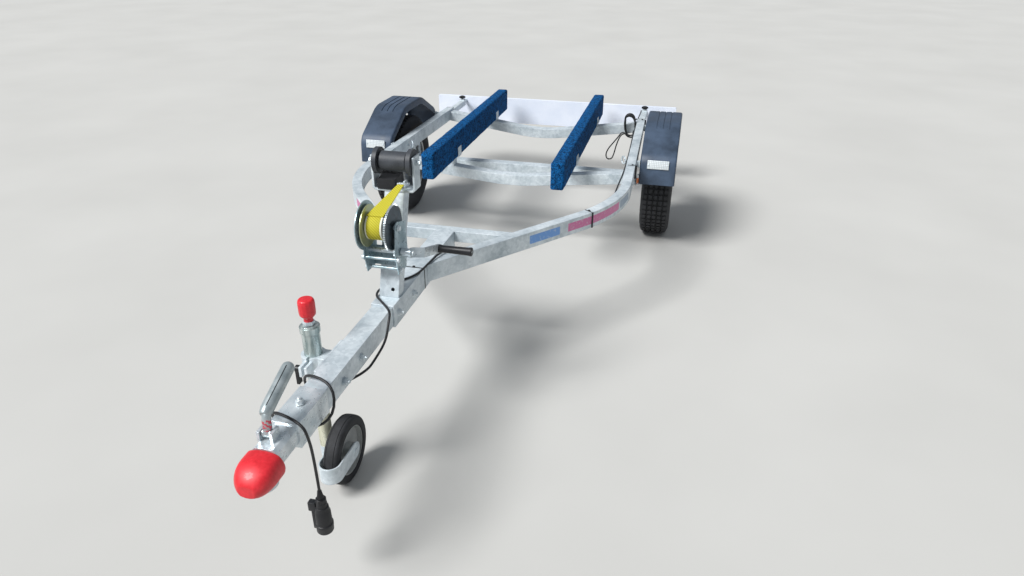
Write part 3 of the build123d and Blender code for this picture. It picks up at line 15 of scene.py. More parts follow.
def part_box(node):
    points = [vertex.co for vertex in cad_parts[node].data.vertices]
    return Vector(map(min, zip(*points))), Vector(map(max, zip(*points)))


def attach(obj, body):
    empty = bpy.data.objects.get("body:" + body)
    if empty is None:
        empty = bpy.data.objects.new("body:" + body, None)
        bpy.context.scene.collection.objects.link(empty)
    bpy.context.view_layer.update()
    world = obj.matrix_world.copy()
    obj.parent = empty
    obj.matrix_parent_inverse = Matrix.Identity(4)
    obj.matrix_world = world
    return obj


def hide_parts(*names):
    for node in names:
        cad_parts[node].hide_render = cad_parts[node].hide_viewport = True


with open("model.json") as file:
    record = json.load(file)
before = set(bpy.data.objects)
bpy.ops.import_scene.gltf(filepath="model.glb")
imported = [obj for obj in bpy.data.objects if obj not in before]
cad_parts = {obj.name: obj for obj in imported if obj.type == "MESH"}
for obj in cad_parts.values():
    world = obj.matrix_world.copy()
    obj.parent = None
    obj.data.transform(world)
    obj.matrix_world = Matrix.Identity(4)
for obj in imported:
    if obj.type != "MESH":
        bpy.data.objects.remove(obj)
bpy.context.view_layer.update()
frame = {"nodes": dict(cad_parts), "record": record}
nodes = frame["nodes"]
print("nodes", len(nodes))

# %% [markdown]
# ## Camera
#
# The photograph was taken with a wide lens from about eye height, beside the coupling, looking down
# at the trailer. The camera's place, tilt and heading are those that fit the wheels, the rails and
# the drawbar.

# %% Camera
CAMERA_PLACE = (0.780, -2.6235, 1.453)
CAMERA_HEADING = math.radians(13.61)
CAMERA_TILT = math.radians(90.0 - 27.708)
CAMERA_ROLL = math.radians(0.167)
FOCAL_LENGTH = 24.8
SENSOR_WIDTH = 36.0

camera_data = bpy.data.cameras.new("camera")
camera_data.lens = FOCAL_LENGTH
camera_data.sensor_width = SENSOR_WIDTH
camera_data.clip_start = 0.05
camera = bpy.data.objects.new("camera", camera_data)
bpy.context.collection.objects.link(camera)
turn = Matrix.Rotation(CAMERA_HEADING, 3, "Z") @ Matrix.Rotation(CAMERA_TILT, 3, "X")
camera.rotation_euler = (turn @ Matrix.Rotation(CAMERA_ROLL, 3, "Z")).to_euler()
camera.location = CAMERA_PLACE
bpy.context.scene.camera = camera
print("camera at", CAMERA_PLACE)

# %% [markdown]
# ## The lighting cable
#
# One seven-core cable runs from the light board to the plug. It leaves the board along an arm, is
# wound into a tied hank over the rail, hangs in a loose loop, follows the rail, wraps the drawbar
# and hangs to the plug. A cable could be a chain of bent pipes, but a real one has no corners, so
# each length is one NURBS curve through a few control points, with a round bevel.

# %% Cable curves
CABLE = 0.007


def cable(name, points):
    """A flexible cable on one smooth curve, which stands for the CAD tube of the same name."""
    data = bpy.data.curves.new(name, "CURVE")
    data.dimensions = "3D"
    data.bevel_depth = CABLE / 2
    data.bevel_resolution = 3
    data.resolution_u = 5
    data.use_fill_caps = True
    spline = data.splines.new("NURBS")
    spline.points.add(len(points) - 1)
    for corner, place in zip(spline.points, points):
        corner.co = (*place, 1.0)
    spline.order_u = 3
    spline.use_endpoint_u = True
    piece = bpy.data.objects.new(name + "_sheath", data)
    bpy.context.collection.objects.link(piece)
    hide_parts(name)
    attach(piece, "chassis")
    return piece


RAIL_RUN = [
    (0.5322, 1.1225, 0.448), (0.5375, 1.06, 0.436), (0.5495, 0.498, 0.435),
    (0.543, 0.3, 0.44), (0.542, 0.136, 0.443), (0.548, 0.0387, 0.443),
    (0.3138, -0.2713, 0.442), (0.2735, -0.3229, 0.444), (0.232, -0.3629, 0.417),
    (0.186, -0.4349, 0.417), (0.143, -0.4909, 0.424), (0.096, -0.5429, 0.444),
    (0.068, -0.5809, 0.472), (0.054, -0.6229, 0.476), (0.04, -0.6829, 0.4695),
    (0.037, -0.7329, 0.4695),
]
FRONT_RUN = [
    (0.037, -0.7329, 0.4695), (0.034, -0.7829, 0.4695), (0.002, -0.8345, 0.47),
    (-0.041, -0.8895, 0.47), (-0.041, -0.9425, 0.47), (-0.008, -0.9765, 0.471),
    (0.042, -1.0275, 0.472), (0.05, -1.0615, 0.46), (0.048, -1.0855, 0.41),
    (0.042, -1.1525, 0.39), (0.04, -1.2025, 0.386), (0.0, -1.2725, 0.384),
    (-0.054, -1.3355, 0.385), (-0.054, -1.3605, 0.475), (0.054, -1.3905, 0.475),
    (0.054, -1.4325, 0.385), (-0.054, -1.4755, 0.385), (-0.054, -1.5115, 0.475),
    (0.044, -1.5405, 0.475), (0.06, -1.5445, 0.44), (0.057, -1.5325, 0.364),
    (0.057, -1.5325, 0.262),
]
ARM_RUN = [
    (0.534, 1.6575, 0.434), (0.534, 1.6075, 0.434), (0.533, 1.5275, 0.436),
    (0.531, 1.4475, 0.434), (0.53, 1.3825, 0.448), (0.528, 1.3355, 0.466),
    (0.526, 1.2955, 0.468), (0.53, 1.2735, 0.462),
]
BIGHT_RUN = [
    (0.477, 1.2415, 0.41), (0.459, 1.2455, 0.406), (0.447, 1.2495, 0.384),
    (0.418, 1.2535, 0.344), (0.392, 1.2575, 0.308), (0.38, 1.2605, 0.274),
    (0.388, 1.2625, 0.247), (0.415, 1.2645, 0.2475), (0.426, 1.2665, 0.28),
    (0.435, 1.2685, 0.33), (0.45, 1.2715, 0.374), (0.461, 1.295, 0.385),
    (0.472, 1.3175, 0.381), (0.496, 1.3375, 0.386), (0.518, 1.3335, 0.39),
    (0.534, 1.3075, 0.391), (0.543, 1.2735, 0.392), (0.541, 1.2375, 0.392),
    (0.533, 1.2115, 0.4), (0.531, 1.1875, 0.426), (0.5315, 1.1575, 0.448),
    (0.5322, 1.1225, 0.448),
]

# %% [markdown]
# The hank is four upright turns, each a little forward of the last. A loop makes their control
# points: each half turn has six round its end and two beside its middle. Every turn leans, and each
# is a little to one side of the next, as when a cable is wound by hand.

# %% Hank of cable
HANK_MIDDLE = Vector((0.504, 1.26950, 0.446))
HANK_TURNS = ((26.0, 60.0, -2.0), (25.0, 66.0, 2.0), (27.0, 54.0, -1.0), (26.0, 63.0, 2.0))
HANK_ARC = (0, 36, 72, 108, 144, 180)
HANK_PITCH = 8.3
HANK_LEAN = 0.1
HANK_BULGE = 2.0


def half_turn(half_width, half_height, aside, side):
    """Control points round the top or the bottom of one turn, in millimetres."""
    rise = half_height - half_width
    corners = [(math.cos(math.radians(a)) * half_width, math.sin(math.radians(a)) * half_width + rise)
               for a in HANK_ARC]
    corners = [(x, -z) for x, z in corners] if side < 0 else corners[::-1]
    return [(x + aside, z) for x, z in corners]


def hank():
    """All turns of the hank, from the rear forwards, in metres."""
    plan = []
    for width, height, aside in HANK_TURNS:
        edge, rise = width + HANK_BULGE, (height - width) * 0.4
        plan += [(edge + aside, rise), (edge + aside, -rise), *half_turn(width, height, aside, -1)]
        plan += [(-edge + aside, -rise), (-edge + aside, rise), *half_turn(width, height, aside, 1)]
    width, height, aside = HANK_TURNS[0]
    plan += [(width + HANK_BULGE, 0.0), *half_turn(width, height, 0.0, -1)[:-1]]
    plan = plan[1:]
    step = HANK_PITCH * len(HANK_TURNS) / (len(plan) - len(HANK_ARC))
    return [HANK_MIDDLE + Vector((x - HANK_LEAN * z, -step * index, z)) / 1000
            for index, (x, z) in enumerate(plan)]


rear_cable = cable("cable_rear", [*ARM_RUN, *hank(), *BIGHT_RUN])
rail_cable = cable("cable_rail", RAIL_RUN)
front_cable = cable("cable_front", FRONT_RUN)
print("cables", rear_cable.name, rail_cable.name, front_cable.name)

# %% [markdown]
# ## Modelling helpers
#
# The small pieces are modelled as by hand: a primitive is added, shaped in edit mode and finished
# with a modifier. A few helpers do what repeats. The main ones make a rounded block, draw out a circle
# step by step as on a lathe, and put copies of a model piece where it is needed.

# %% Modelling helpers
def deselect():
    """Select no piece."""
    bpy.ops.object.select_all(action="DESELECT")


def only(piece):
    """Make this piece the one that is selected and active."""
    deselect()
    piece.select_set(True)
    bpy.context.view_layer.objects.active = piece


def edit(piece, select="SELECT", element="VERT"):
    """Put the piece in edit mode, with all of its corners, edges or faces selected, or none."""
    only(piece)
    bpy.ops.object.mode_set(mode="EDIT")
    bpy.ops.mesh.select_mode(type=element)
    bpy.ops.mesh.select_all(action=select)


def middle_of(node_name):
    """The middle of a CAD piece's box."""
    low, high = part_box(node_name)
    return (low + high) / 2


def leave_edit():
    """Go back to object mode."""
    bpy.ops.object.mode_set(mode="OBJECT")


def smooth_up_to(degrees):
    """Shade the active piece smooth, apart from edges that turn by more than this."""
    bpy.ops.object.shade_smooth_by_angle(angle=math.radians(degrees))


def settle(piece, smooth=35.0):
    """Put the piece's place in its mesh, merge doubles and turn the faces outwards."""
    only(piece)
    bpy.ops.object.transform_apply()
    edit(piece)
    bpy.ops.mesh.remove_doubles(threshold=0.00001)
    bpy.ops.mesh.normals_make_consistent()
    leave_edit()
    smooth_up_to(smooth)
    return piece


def modified(piece, kind, **settings):
    """Give the piece a modifier with these settings, and apply it."""
    only(piece)
    modifier = piece.modifiers.new(kind, kind)
    for name, value in settings.items():
        setattr(modifier, name, value)
    bpy.ops.object.modifier_apply(modifier=kind)
    return piece


def round_edges(piece, millimetres, segments=2, angle=30.0):
    """Round the sharp edges, as casting, moulding or deburring does."""
    return modified(piece, "BEVEL", width=millimetres / 1000, segments=segments, limit_method="ANGLE",
                    angle_limit=math.radians(angle))


def block(name, low, high, millimetres=1.0, segments=2):
    """A block between two corners, in metres, with rounded edges."""
    deselect()
    middle = [(a + b) / 2 for a, b in zip(low, high)]
    bpy.ops.mesh.primitive_cube_add(size=1.0, location=middle, scale=[b - a for a, b in zip(low, high)])
    piece = bpy.context.object
    piece.name = name
    bpy.ops.object.transform_apply()
    return settle(round_edges(piece, millimetres, segments))


def pointed(piece, place, direction):
    """Turn a piece that was made along Z to this direction, and move it to its place."""
    piece.rotation_euler = Vector((0, 0, 1)).rotation_difference(Vector(direction)).to_euler()
    piece.location = place
    return settle(piece)


def turned(name, steps, place, direction=(0, 0, 1), sides=32, open_ring=False):
    """A turned piece: steps are (distance along the axis, radius) in millimetres."""
    deselect()
    start, radius = steps[0]
    kind = "NOTHING" if open_ring else "NGON"
    bpy.ops.mesh.primitive_circle_add(vertices=sides, radius=radius / 1000, fill_type=kind)
    piece = bpy.context.object
    piece.name = name
    edit(piece)
    bpy.ops.transform.translate(value=(0, 0, start / 1000))
    for distance, wide in steps[1:]:
        shift = {"value": (0, 0, (distance - start) / 1000)}
        bpy.ops.mesh.extrude_region_move(TRANSFORM_OT_translate=shift)
        bpy.ops.transform.resize(value=(wide / radius, wide / radius, 1), center_override=(0, 0, 0))
        start, radius = distance, wide
    leave_edit()
    return pointed(piece, place, direction)


def cut(place, normal):
    """Cut the mesh that is being edited with a plane."""
    bpy.ops.mesh.select_all(action="SELECT")
    bpy.ops.mesh.bisect(plane_co=place, plane_no=normal)


def draw_out(piece, wanted, metres):
    """Extrude the faces that pass the test outwards, or inwards where metres is negative."""
    edit(piece, "DESELECT", "FACE")
    leave_edit()
    for face in piece.data.polygons:
        face.select = wanted(face)
    bpy.ops.object.mode_set(mode="EDIT")
    bpy.ops.mesh.extrude_region_shrink_fatten(TRANSFORM_OT_shrink_fatten={"value": metres})
    leave_edit()


def select_edges(piece, wanted):
    """Select the edges whose two ends pass the test, then go to edit mode."""
    edit(piece, "DESELECT", "EDGE")
    leave_edit()
    corners = piece.data.vertices
    for edge in piece.data.edges:
        edge.select = wanted(*(corners[index].co for index in edge.vertices))
    bpy.ops.object.mode_set(mode="EDIT")


def joined(name, pieces):
    """Join pieces into one object with this name."""
    deselect()
    for piece in pieces:
        piece.select_set(True)
    bpy.context.view_layer.objects.active = pieces[0]
    if len(pieces) > 1:
        bpy.ops.object.join()
    piece = bpy.context.view_layer.objects.active
    piece.name = name
    return piece


def spread_out(name, model, places):
    """Copies of the model, each with its own mesh, at (place, direction), joined to one object."""
    made = []
    for place, direction in places:
        piece = model.copy()
        piece.data = model.data.copy()
        bpy.context.collection.objects.link(piece)
        made.append(pointed(piece, place, direction))
    bpy.data.objects.remove(model)
    return joined(name, made)


def fitted(piece, body, finish=None, instead_of=()):
    """Give a piece its body and its finish, and hide the CAD pieces that it stands for."""
    if finish:
        piece.data.materials.clear()
        piece.data.materials.append(finish)
    if instead_of:
        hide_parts(*instead_of)
    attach(piece, body)
    return piece


print("modelling helpers ready")

# %% [markdown]
# ## Helpers for finishes
#
# A procedural finish is a graph of nodes. Colours are written as sRGB hex values, as a paint chart
# gives them, and one function turns them to the linear values that a shader needs. One more feeds a
# node its inputs, and one adds a node with its settings and links. The last three are what most
# finishes end with: a tone between two colours, a relief on edges that are a little worn, and a gloss
# that is not even.

# %% Finish helpers
def linear(hex_colour):
    """An sRGB hex colour as linear red, green, blue and alpha."""
    values = [int(hex_colour[i:i + 2], 16) / 255 for i in (1, 3, 5)]
    return tuple(v / 12.92 if v <= 0.04045 else ((v + 0.055) / 1.055) ** 2.4 for v in values) + (1.0,)


def feed(node, inputs):
    """Give a node its inputs. Each is a value, a hex colour or another node's output."""
    for name, value in inputs.items():
        if isinstance(value, bpy.types.NodeSocket):
            node.id_data.links.new(value, node.inputs[name])
        else:
            node.inputs[name].default_value = linear(value) if isinstance(value, str) else value


def add_node(tree, kind, inputs=None, out=0, **settings):
    """Add a node with its settings and inputs, and return one of its outputs."""
    node = tree.nodes.new("ShaderNode" + kind)
    for name, value in settings.items():
        setattr(node, name, value)
    feed(node, inputs or {})
    return node.outputs[out]


def new_finish(name, metallic=0.0, roughness=0.5):
    """An empty finish: its material, its tree, its shader and the object's own coordinates."""
    material = bpy.data.materials.new(name)
    material.use_nodes = True
    tree = material.node_tree
    shader = tree.nodes["Principled BSDF"]
    feed(shader, {"Metallic": metallic, "Roughness": roughness})
    place = add_node(tree, "TexCoord", out="Object")
    return material, tree, shader, place


def per_metre(millimetres):
    """Texture scale for a pattern whose features are this many millimetres apart."""
    return 1000.0 / millimetres


def spaced(place, millimetres, **others):
    """The inputs of a texture whose features are this many millimetres apart."""
    return {"Vector": place, "Scale": per_metre(millimetres), **others}


def two_tone(tree, pattern, low, high, start=0.3, end=0.7):
    """From one colour to the other, as the pattern rises from start to end."""
    share = add_node(tree, "MapRange", {"Value": pattern, "From Min": start, "From Max": end})
    return add_node(tree, "Mix", {0: share, 6: low, 7: high}, 2, data_type="RGBA")


def add_relief(tree, shader, height, millimetres, strength=1.0, rounded=0.0):
    """Drive the shader's normal by a height of this full depth, on edges rounded by millimetres."""
    inputs = {"Height": height, "Distance": millimetres / 1000.0, "Strength": strength}
    if rounded:
        inputs["Normal"] = add_node(tree, "Bevel", {"Radius": rounded / 1000.0}, samples=4)
    feed(shader, {"Normal": add_node(tree, "Bump", inputs)})


def vary_roughness(tree, shader, pattern, low, high, start=0.3, end=0.7):
    """Drive the shader's roughness from low to high, as the pattern rises from start to end."""
    inputs = {"Value": pattern, "From Min": start, "From Max": end, "To Min": low, "To Max": high}
    feed(shader, {"Roughness": add_node(tree, "MapRange", inputs)})


print("finish helpers ready")

# %% [markdown]
# ## Hot-dip galvanised steel
#
# The tubes are dipped whole in molten zinc. The coat freezes in flat crystals, the spangle, about a
# centimetre across, and weathers to a blue grey with chalky patches. Cells of a Voronoi texture give
# the crystals, which differ a little in tone and gloss, and a soft noise gives the patches. A tube's
# long corners are rolled, so the normal is rounded by a few millimetres.

# %% Galvanised steel
SPANGLE_MM = 10.0
PATCH_MM = 90.0


def galvanised_finish(name, cover=None):
    """Dipped steel; cover paints over its colour."""
    material, tree, shader, place = new_finish(name, metallic=0.25)
    crystals = add_node(tree, "TexVoronoi", spaced(place, SPANGLE_MM), "Color")
    crystals = add_node(tree, "SeparateColor", {"Color": crystals}, "Red")
    patches = add_node(tree, "TexNoise", spaced(place, PATCH_MM, Detail=5.0, Roughness=0.6))
    tone = add_node(tree, "Math", {0: crystals, 1: 0.14, 2: patches}, operation="MULTIPLY_ADD")
    colour = two_tone(tree, tone, "#98A6AE", "#E2EAEE", 0.26, 0.80)
    if cover:
        colour = cover(tree, place, colour)
    feed(shader, {"Base Color": colour})
    vary_roughness(tree, shader, tone, 0.36, 0.52, end=0.9)
    ripple = add_node(tree, "TexNoise", spaced(place, 16.0, Detail=4.0, Roughness=0.6))
    add_relief(tree, shader, ripple, 0.3, 0.5, rounded=3.0)
    return material


galvanised = galvanised_finish("galvanised_steel")
print("made", galvanised.name)

# %% [markdown]
# The rails also carry plain printed bands on their outer sides near the front: a pink one on each
# rail, and a blue and a grey one on the right-hand rail. They are thin film with worn spots, so they
# are drawn in the rails' own finish, by place along the rail.

# %% Rails with printed bands
BAND_Z = (0.420, 0.452)
RIGHT_SIDE, LEFT_SIDE = 1.0, -1.0
BANDS = (
    (-0.225, 0.052, RIGHT_SIDE, "#C8749F"), (-0.235, -0.165, LEFT_SIDE, "#C8749F"),
    (-0.370, -0.257, RIGHT_SIDE, "#6E9BD6"), (0.064, 0.176, RIGHT_SIDE, "#8FA0B2"),
)


def within(tree, value, low, high):
    """1 where a number lies between two values, else 0."""
    inputs = {0: value, 1: (low + high) / 2, 2: (high - low) / 2}
    return add_node(tree, "Math", inputs, operation="COMPARE")


def printed_bands(tree, place, steel):
    """Bands over the steel's colour, on the faces that look outwards."""
    x, y, z = [add_node(tree, "SeparateXYZ", {"Vector": place}, axis) for axis in "XYZ"]
    normal = add_node(tree, "NewGeometry", out="Normal")
    facing = add_node(tree, "SeparateXYZ", {"Vector": normal}, "X")
    side = add_node(tree, "Math", {0: x}, operation="SIGN")
    facing = add_node(tree, "Math", {0: facing, 1: side}, operation="MULTIPLY")
    outwards = add_node(tree, "Math", {0: facing, 1: 0.25}, operation="GREATER_THAN")
    wear = add_node(tree, "TexNoise", spaced(place, 9.0, Detail=3.0))
    wear = add_node(tree, "MapRange", {"Value": wear, "From Min": 0.3, "From Max": 0.45, "To Min": 0.55})
    height = within(tree, z, *BAND_Z)
    printed = add_node(tree, "Math", {0: height, 1: outwards}, operation="MULTIPLY")
    printed = add_node(tree, "Math", {0: printed, 1: wear}, operation="MULTIPLY")
    for start, end, band_side, tint in BANDS:
        here = within(tree, side, band_side - 0.5, band_side + 0.5)
        here = add_node(tree, "Math", {0: here, 1: within(tree, y, start, end)}, operation="MULTIPLY")
        share = add_node(tree, "Math", {0: here, 1: printed}, operation="MULTIPLY")
        steel = add_node(tree, "Mix", {0: share, 6: steel, 7: tint}, 2, data_type="RGBA")
    return steel


banded_rail = galvanised_finish("galvanised_rail", cover=printed_bands)
print("made", banded_rail.name)

# %% [markdown]
# ## Bright zinc plate
#
# The winch, the coupling and the jockey wheel's tubes are electroplated. Passivated zinc is smoother
# and brighter than a dipped coat, and its film shows faint yellow and green tints in clouds. Drawn
# tube has its clouds pulled out along its length. On the jockey wheel's upper tube, these long bright
# streaks are partly painted highlights, the lengthwise shine of a round tube, and partly drawing marks.
# The steel's rolling marks are too fine to show, so they are drawn as a slight ripple of eight
# millimetres. The lever has a worn touch of red paint at its root.

# %% Zinc plate
MARK_Y = (-1.600, -1.572)
MARK_Z = (0.484, 0.512)


def red_mark(tree, place, zinc):
    """A touch of red paint, worn through in spots."""
    y, z = [add_node(tree, "SeparateXYZ", {"Vector": place}, axis) for axis in "YZ"]
    wear = add_node(tree, "TexNoise", spaced(place, 6.0, Detail=3.0))
    wear = add_node(tree, "MapRange", {"Value": wear, "From Min": 0.46, "From Max": 0.52, "To Max": 0.9})
    touched = add_node(tree, "Math", {
        0: within(tree, y, *MARK_Y), 1: within(tree, z, *MARK_Z)}, operation="MULTIPLY")
    share = add_node(tree, "Math", {0: touched, 1: wear}, operation="MULTIPLY")
    return add_node(tree, "Mix", {0: share, 6: zinc, 7: "#C9344A"}, 2, data_type="RGBA")


def zinc_finish(name, low, high, metallic=0.5, drawn=1.0, cover=None):
    """Plated steel; drawn is how far its clouds are pulled out, and cover paints over its colour."""
    material, tree, shader, place = new_finish(name, metallic)
    pulled = add_node(tree, "Mapping", {"Vector": place, "Scale": (1.0, 1.0, 1.0 / drawn)})
    clouds = add_node(tree, "TexNoise", spaced(pulled, 45.0 / drawn ** 0.5, Detail=4.0, Roughness=0.55))
    colour = two_tone(tree, clouds, low, high, 0.35, 0.68)
    if cover:
        colour = cover(tree, place, colour)
    feed(shader, {"Base Color": colour})
    gloss = add_node(tree, "TexNoise", spaced(place, 12.0, Detail=3.0))
    vary_roughness(tree, shader, gloss, 0.24, 0.40)
    waves = add_node(tree, "TexNoise", spaced(place, 8.0, Detail=1.0))
    add_relief(tree, shader, waves, 0.08, 0.5, rounded=1.0)
    return material


blue_zinc = zinc_finish("blue_zinc_plate", "#B4C1C8", "#E4EBEE")
lever_zinc = zinc_finish("lever_zinc_plate", "#8A9699", "#BCC5C7", cover=red_mark)
winch_zinc = zinc_finish("winch_zinc_plate", "#7D959E", "#BBCBD1")
# On the jockey tube the strong lengthwise streaks are partly painted highlights and partly drawing marks.
tube_zinc_painted_highlights = zinc_finish("tube_zinc_plate_painted_highlights", "#8B9B9B", "#E0E8E5", metallic=0.7, drawn=9.0)
yellow_zinc = zinc_finish("yellow_zinc_plate", "#B4B49C", "#E4E3CF", metallic=0.4, drawn=6.0)
print("made zinc plate in five tints")

# %% [markdown]
# The winch gear is the same steel, but greased: its disc is dark, and its teeth are polished bright
# by the pinion. The tone follows the distance from the drum's axis.

# %% Winch gear and drum
roll_low, roll_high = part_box("strap_roll")
DRUM_Y = (roll_low.y + roll_high.y) / 2
DRUM_Z = (roll_low.z + roll_high.z) / 2
GEAR_FROM_X = 0.020
TEETH_FROM_R, TEETH_R = 0.0605, 0.0635


def gear_finish():
    """Dark greased steel on the disc, bright on the teeth and the drum."""
    material, tree, shader, place = new_finish("greased_gear_steel", metallic=0.8)
    x = add_node(tree, "SeparateXYZ", {"Vector": place}, "X")
    across = add_node(tree, "VectorMath", {0: place, 1: (0.0, 1.0, 1.0)}, operation="MULTIPLY")
    radius = add_node(tree, "VectorMath", {
        0: across, 1: (0.0, DRUM_Y, DRUM_Z)}, "Value", operation="DISTANCE")
    grease = add_node(tree, "TexNoise", spaced(place, 9.0, Detail=4.0, Roughness=0.6))
    disc = two_tone(tree, grease, "#323C44", "#5D6A73")
    right = add_node(tree, "Math", {0: x, 1: 0.0}, operation="GREATER_THAN")
    film = add_node(tree, "Mix", {0: right, 6: "#B9BE9A", 7: "#C3CACC"}, 2, data_type="RGBA")
    drum = add_node(tree, "Math", {0: x, 1: GEAR_FROM_X}, operation="LESS_THAN")
    teeth = add_node(tree, "MapRange", {"Value": radius, "From Min": TEETH_FROM_R, "From Max": TEETH_R})
    bright = add_node(tree, "Math", {0: drum, 1: teeth}, operation="MAXIMUM")
    colour = add_node(tree, "Mix", {0: bright, 6: disc, 7: film}, 2, data_type="RGBA")
    feed(shader, {"Base Color": colour})
    vary_roughness(tree, shader, grease, 0.25, 0.5)
    add_relief(tree, shader, grease, 0.15, 0.4, rounded=0.6)
    return material


gear_steel = gear_finish()
print("made", gear_steel.name)

# %% [markdown]
# ## Painted wheels and cast hubs
#
# The rims are sprayed silver, a metallic lacquer with a fine sparkle and some road dust. The hubs
# are grey iron castings with a sandy skin. The jockey wheel's rim is moulded in grey nylon. Flakes of
# paint and grains of moulding sand are too fine to show, so they are drawn one and two millimetres
# across.

# %% Wheel paint, cast iron and nylon
def speckled_finish(name, low, high, grain_mm, depth_mm, roughness, metallic=0.0, rounded=0.8, dirt_mm=60.0):
    """A finish with a fine grain in its height and a soft, larger change in its tone."""
    material, tree, shader, place = new_finish(name, metallic, roughness)
    grain = add_node(tree, "TexNoise", spaced(place, grain_mm, Detail=2.0))
    dirt = add_node(tree, "TexNoise", spaced(place, dirt_mm, Detail=4.0, Roughness=0.6))
    tone = add_node(tree, "Mix", {0: 0.65, 2: grain, 3: dirt})
    feed(shader, {"Base Color": two_tone(tree, tone, low, high, 0.36, 0.64)})
    vary_roughness(tree, shader, dirt, roughness - 0.07, roughness + 0.09)
    add_relief(tree, shader, grain, depth_mm, 0.6, rounded)
    return material


wheel_paint = speckled_finish("silver_wheel_paint", "#8C9092", "#B9BDBF", 1.2, 0.03, 0.38, metallic=0.5)
cast_iron = speckled_finish("cast_iron_hub", "#4A4D50", "#6C6F72", 2.0, 0.25, 0.62, metallic=0.4)
grey_nylon = speckled_finish("grey_nylon", "#8F9291", "#B4B6B4", 3.0, 0.08, 0.48)
print("made", wheel_paint.name, cast_iron.name, grey_nylon.name)

# %% [markdown]
# ## Rubber and moulded plastic
#
# Tyre rubber is carbon black, dull, and greyed by dust. The bow roller is a smoother dark grey
# rubber. The mudguards are moulded from a slate grey plastic with a fine leather grain, and small
# black parts from nylon. The red cover and knob are soft dipped vinyl, glossy with a skin of waves.
# A mould's grain is a few tenths of a millimetre and would not show, so it is drawn at one to three.

# %% Rubber and plastic
tyre_rubber = speckled_finish("tyre_rubber", "#1B1C1E", "#36373A", 2.5, 0.12, 0.74, dirt_mm=35.0)
roller_rubber = speckled_finish("roller_rubber", "#303338", "#4A4E54", 2.0, 0.08, 0.55)
black_rubber = speckled_finish("black_rubber", "#17181A", "#292A2D", 2.0, 0.08, 0.6)
guard_plastic = speckled_finish("slate_guard_plastic", "#2A3543", "#45556A", 1.5, 0.12, 0.46,
                                rounded=0.0, dirt_mm=110.0)
black_nylon = speckled_finish("black_nylon", "#141517", "#242528", 1.5, 0.06, 0.42)
cable_vinyl = speckled_finish("cable_vinyl", "#111214", "#222326", 3.0, 0.05, 0.45, rounded=0.0)
red_vinyl = speckled_finish("red_vinyl", "#C41822", "#E02A36", 6.0, 0.15, 0.42, rounded=2.5, dirt_mm=40.0)
feed(red_vinyl.node_tree.nodes["Principled BSDF"], {"Coat Weight": 0.1})
board_plastic = speckled_finish("white_board_plastic", "#DAE2F1", "#ECF1FB", 2.5, 0.05, 0.4,
                                rounded=1.5, dirt_mm=160.0)
plate_film = speckled_finish("blank_plate_film", "#DADAD2", "#ECECE6", 1.0, 0.03, 0.4, rounded=0.0)
for dull in (tyre_rubber, roller_rubber, black_rubber, guard_plastic, black_nylon):
    feed(dull.node_tree.nodes["Principled BSDF"], {"Specular IOR Level": 0.4})
print("made rubber and plastics")

# %% [markdown]
# ## Lamp lenses and reflectors
#
# Lenses are clear coloured plastic with small prisms inside, which break the light into squares. A
# checker-like bump at the prism's pitch shows that without modelling hundreds of them.

# %% Lenses
TURN = 6.283
lamp_low, lamp_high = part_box("tail_lamps")
LAMP_SPLIT = lamp_high.x - 0.070
MARKER_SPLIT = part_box("side_markers")[1].z - 0.013


def lens_finish(name, colour_of, prism_mm=4.0):
    """A lens with prisms; colour_of gives its colour from the tree and the place."""
    material, tree, shader, place = new_finish(name, roughness=0.18)
    waves = [add_node(tree, "TexWave", spaced(place, prism_mm * TURN, Distortion=0.0), "Fac",
                      bands_direction=axis) for axis in "XZ"]
    prisms = add_node(tree, "Math", {0: waves[0], 1: waves[1]}, operation="MULTIPLY")
    clear = colour_of(tree, place)
    dark = add_node(tree, "Mix", {0: 0.35, 6: clear, 7: "#272727"}, 2, data_type="RGBA")
    feed(shader, {"Base Color": two_tone(tree, prisms, dark, clear, 0.05, 0.6)})
    feed(shader, {"Coat Weight": 0.6, "Coat Roughness": 0.08})
    add_relief(tree, shader, prisms, 0.35, 0.8)
    return material


def lamp_colours(tree, place):
    """Amber outside, red inside, as on a combined rear lamp."""
    x = add_node(tree, "SeparateXYZ", {"Vector": place}, "X")
    outer = add_node(tree, "Math", {0: x}, operation="ABSOLUTE")
    outer = add_node(tree, "Math", {0: outer, 1: LAMP_SPLIT}, operation="GREATER_THAN")
    return add_node(tree, "Mix", {0: outer, 6: "#B3151B", 7: "#D9721A"}, 2, data_type="RGBA")


def marker_colours(tree, place):
    """Amber with a white top, as on a side marker."""
    z = add_node(tree, "SeparateXYZ", {"Vector": place}, "Z")
    top = add_node(tree, "Math", {0: z, 1: MARKER_SPLIT}, operation="GREATER_THAN")
    return add_node(tree, "Mix", {0: top, 6: "#D96F1C", 7: "#E6EAEC"}, 2, data_type="RGBA")


def reflector_white(tree, place):
    """A white that is a little clouded."""
    clouds = add_node(tree, "TexNoise", spaced(place, 14.0, Detail=3.0))
    return two_tone(tree, clouds, "#DDE6EA", "#F1F6F8")


tail_lens = lens_finish("rear_lamp_lens", lamp_colours, 6.0)
marker_lens = lens_finish("side_marker_lens", marker_colours)
reflector_lens = lens_finish("white_reflector", reflector_white)
print("made", tail_lens.name, marker_lens.name, reflector_lens.name)

# %% [markdown]
# ## Carpet and webbing
#
# The bunks wear marine carpet, a needle felt of blue fibres with lighter and darker ones mixed in.
# Single fibres are too fine to show, so a fine and a coarse noise draw them as clumps and tufts. The
# strap is woven from coarse yellow yarn, with a twill that shows as slanting ribs and a white stripe
# along each edge. The ribs are drawn twice as wide as the yarn, so that they show.

# %% Carpet and webbing
FIBRE_MM, TUFT_MM = 7.0, 18.0
TWILL_MM = 2.4
WHITE_EDGE = 0.005


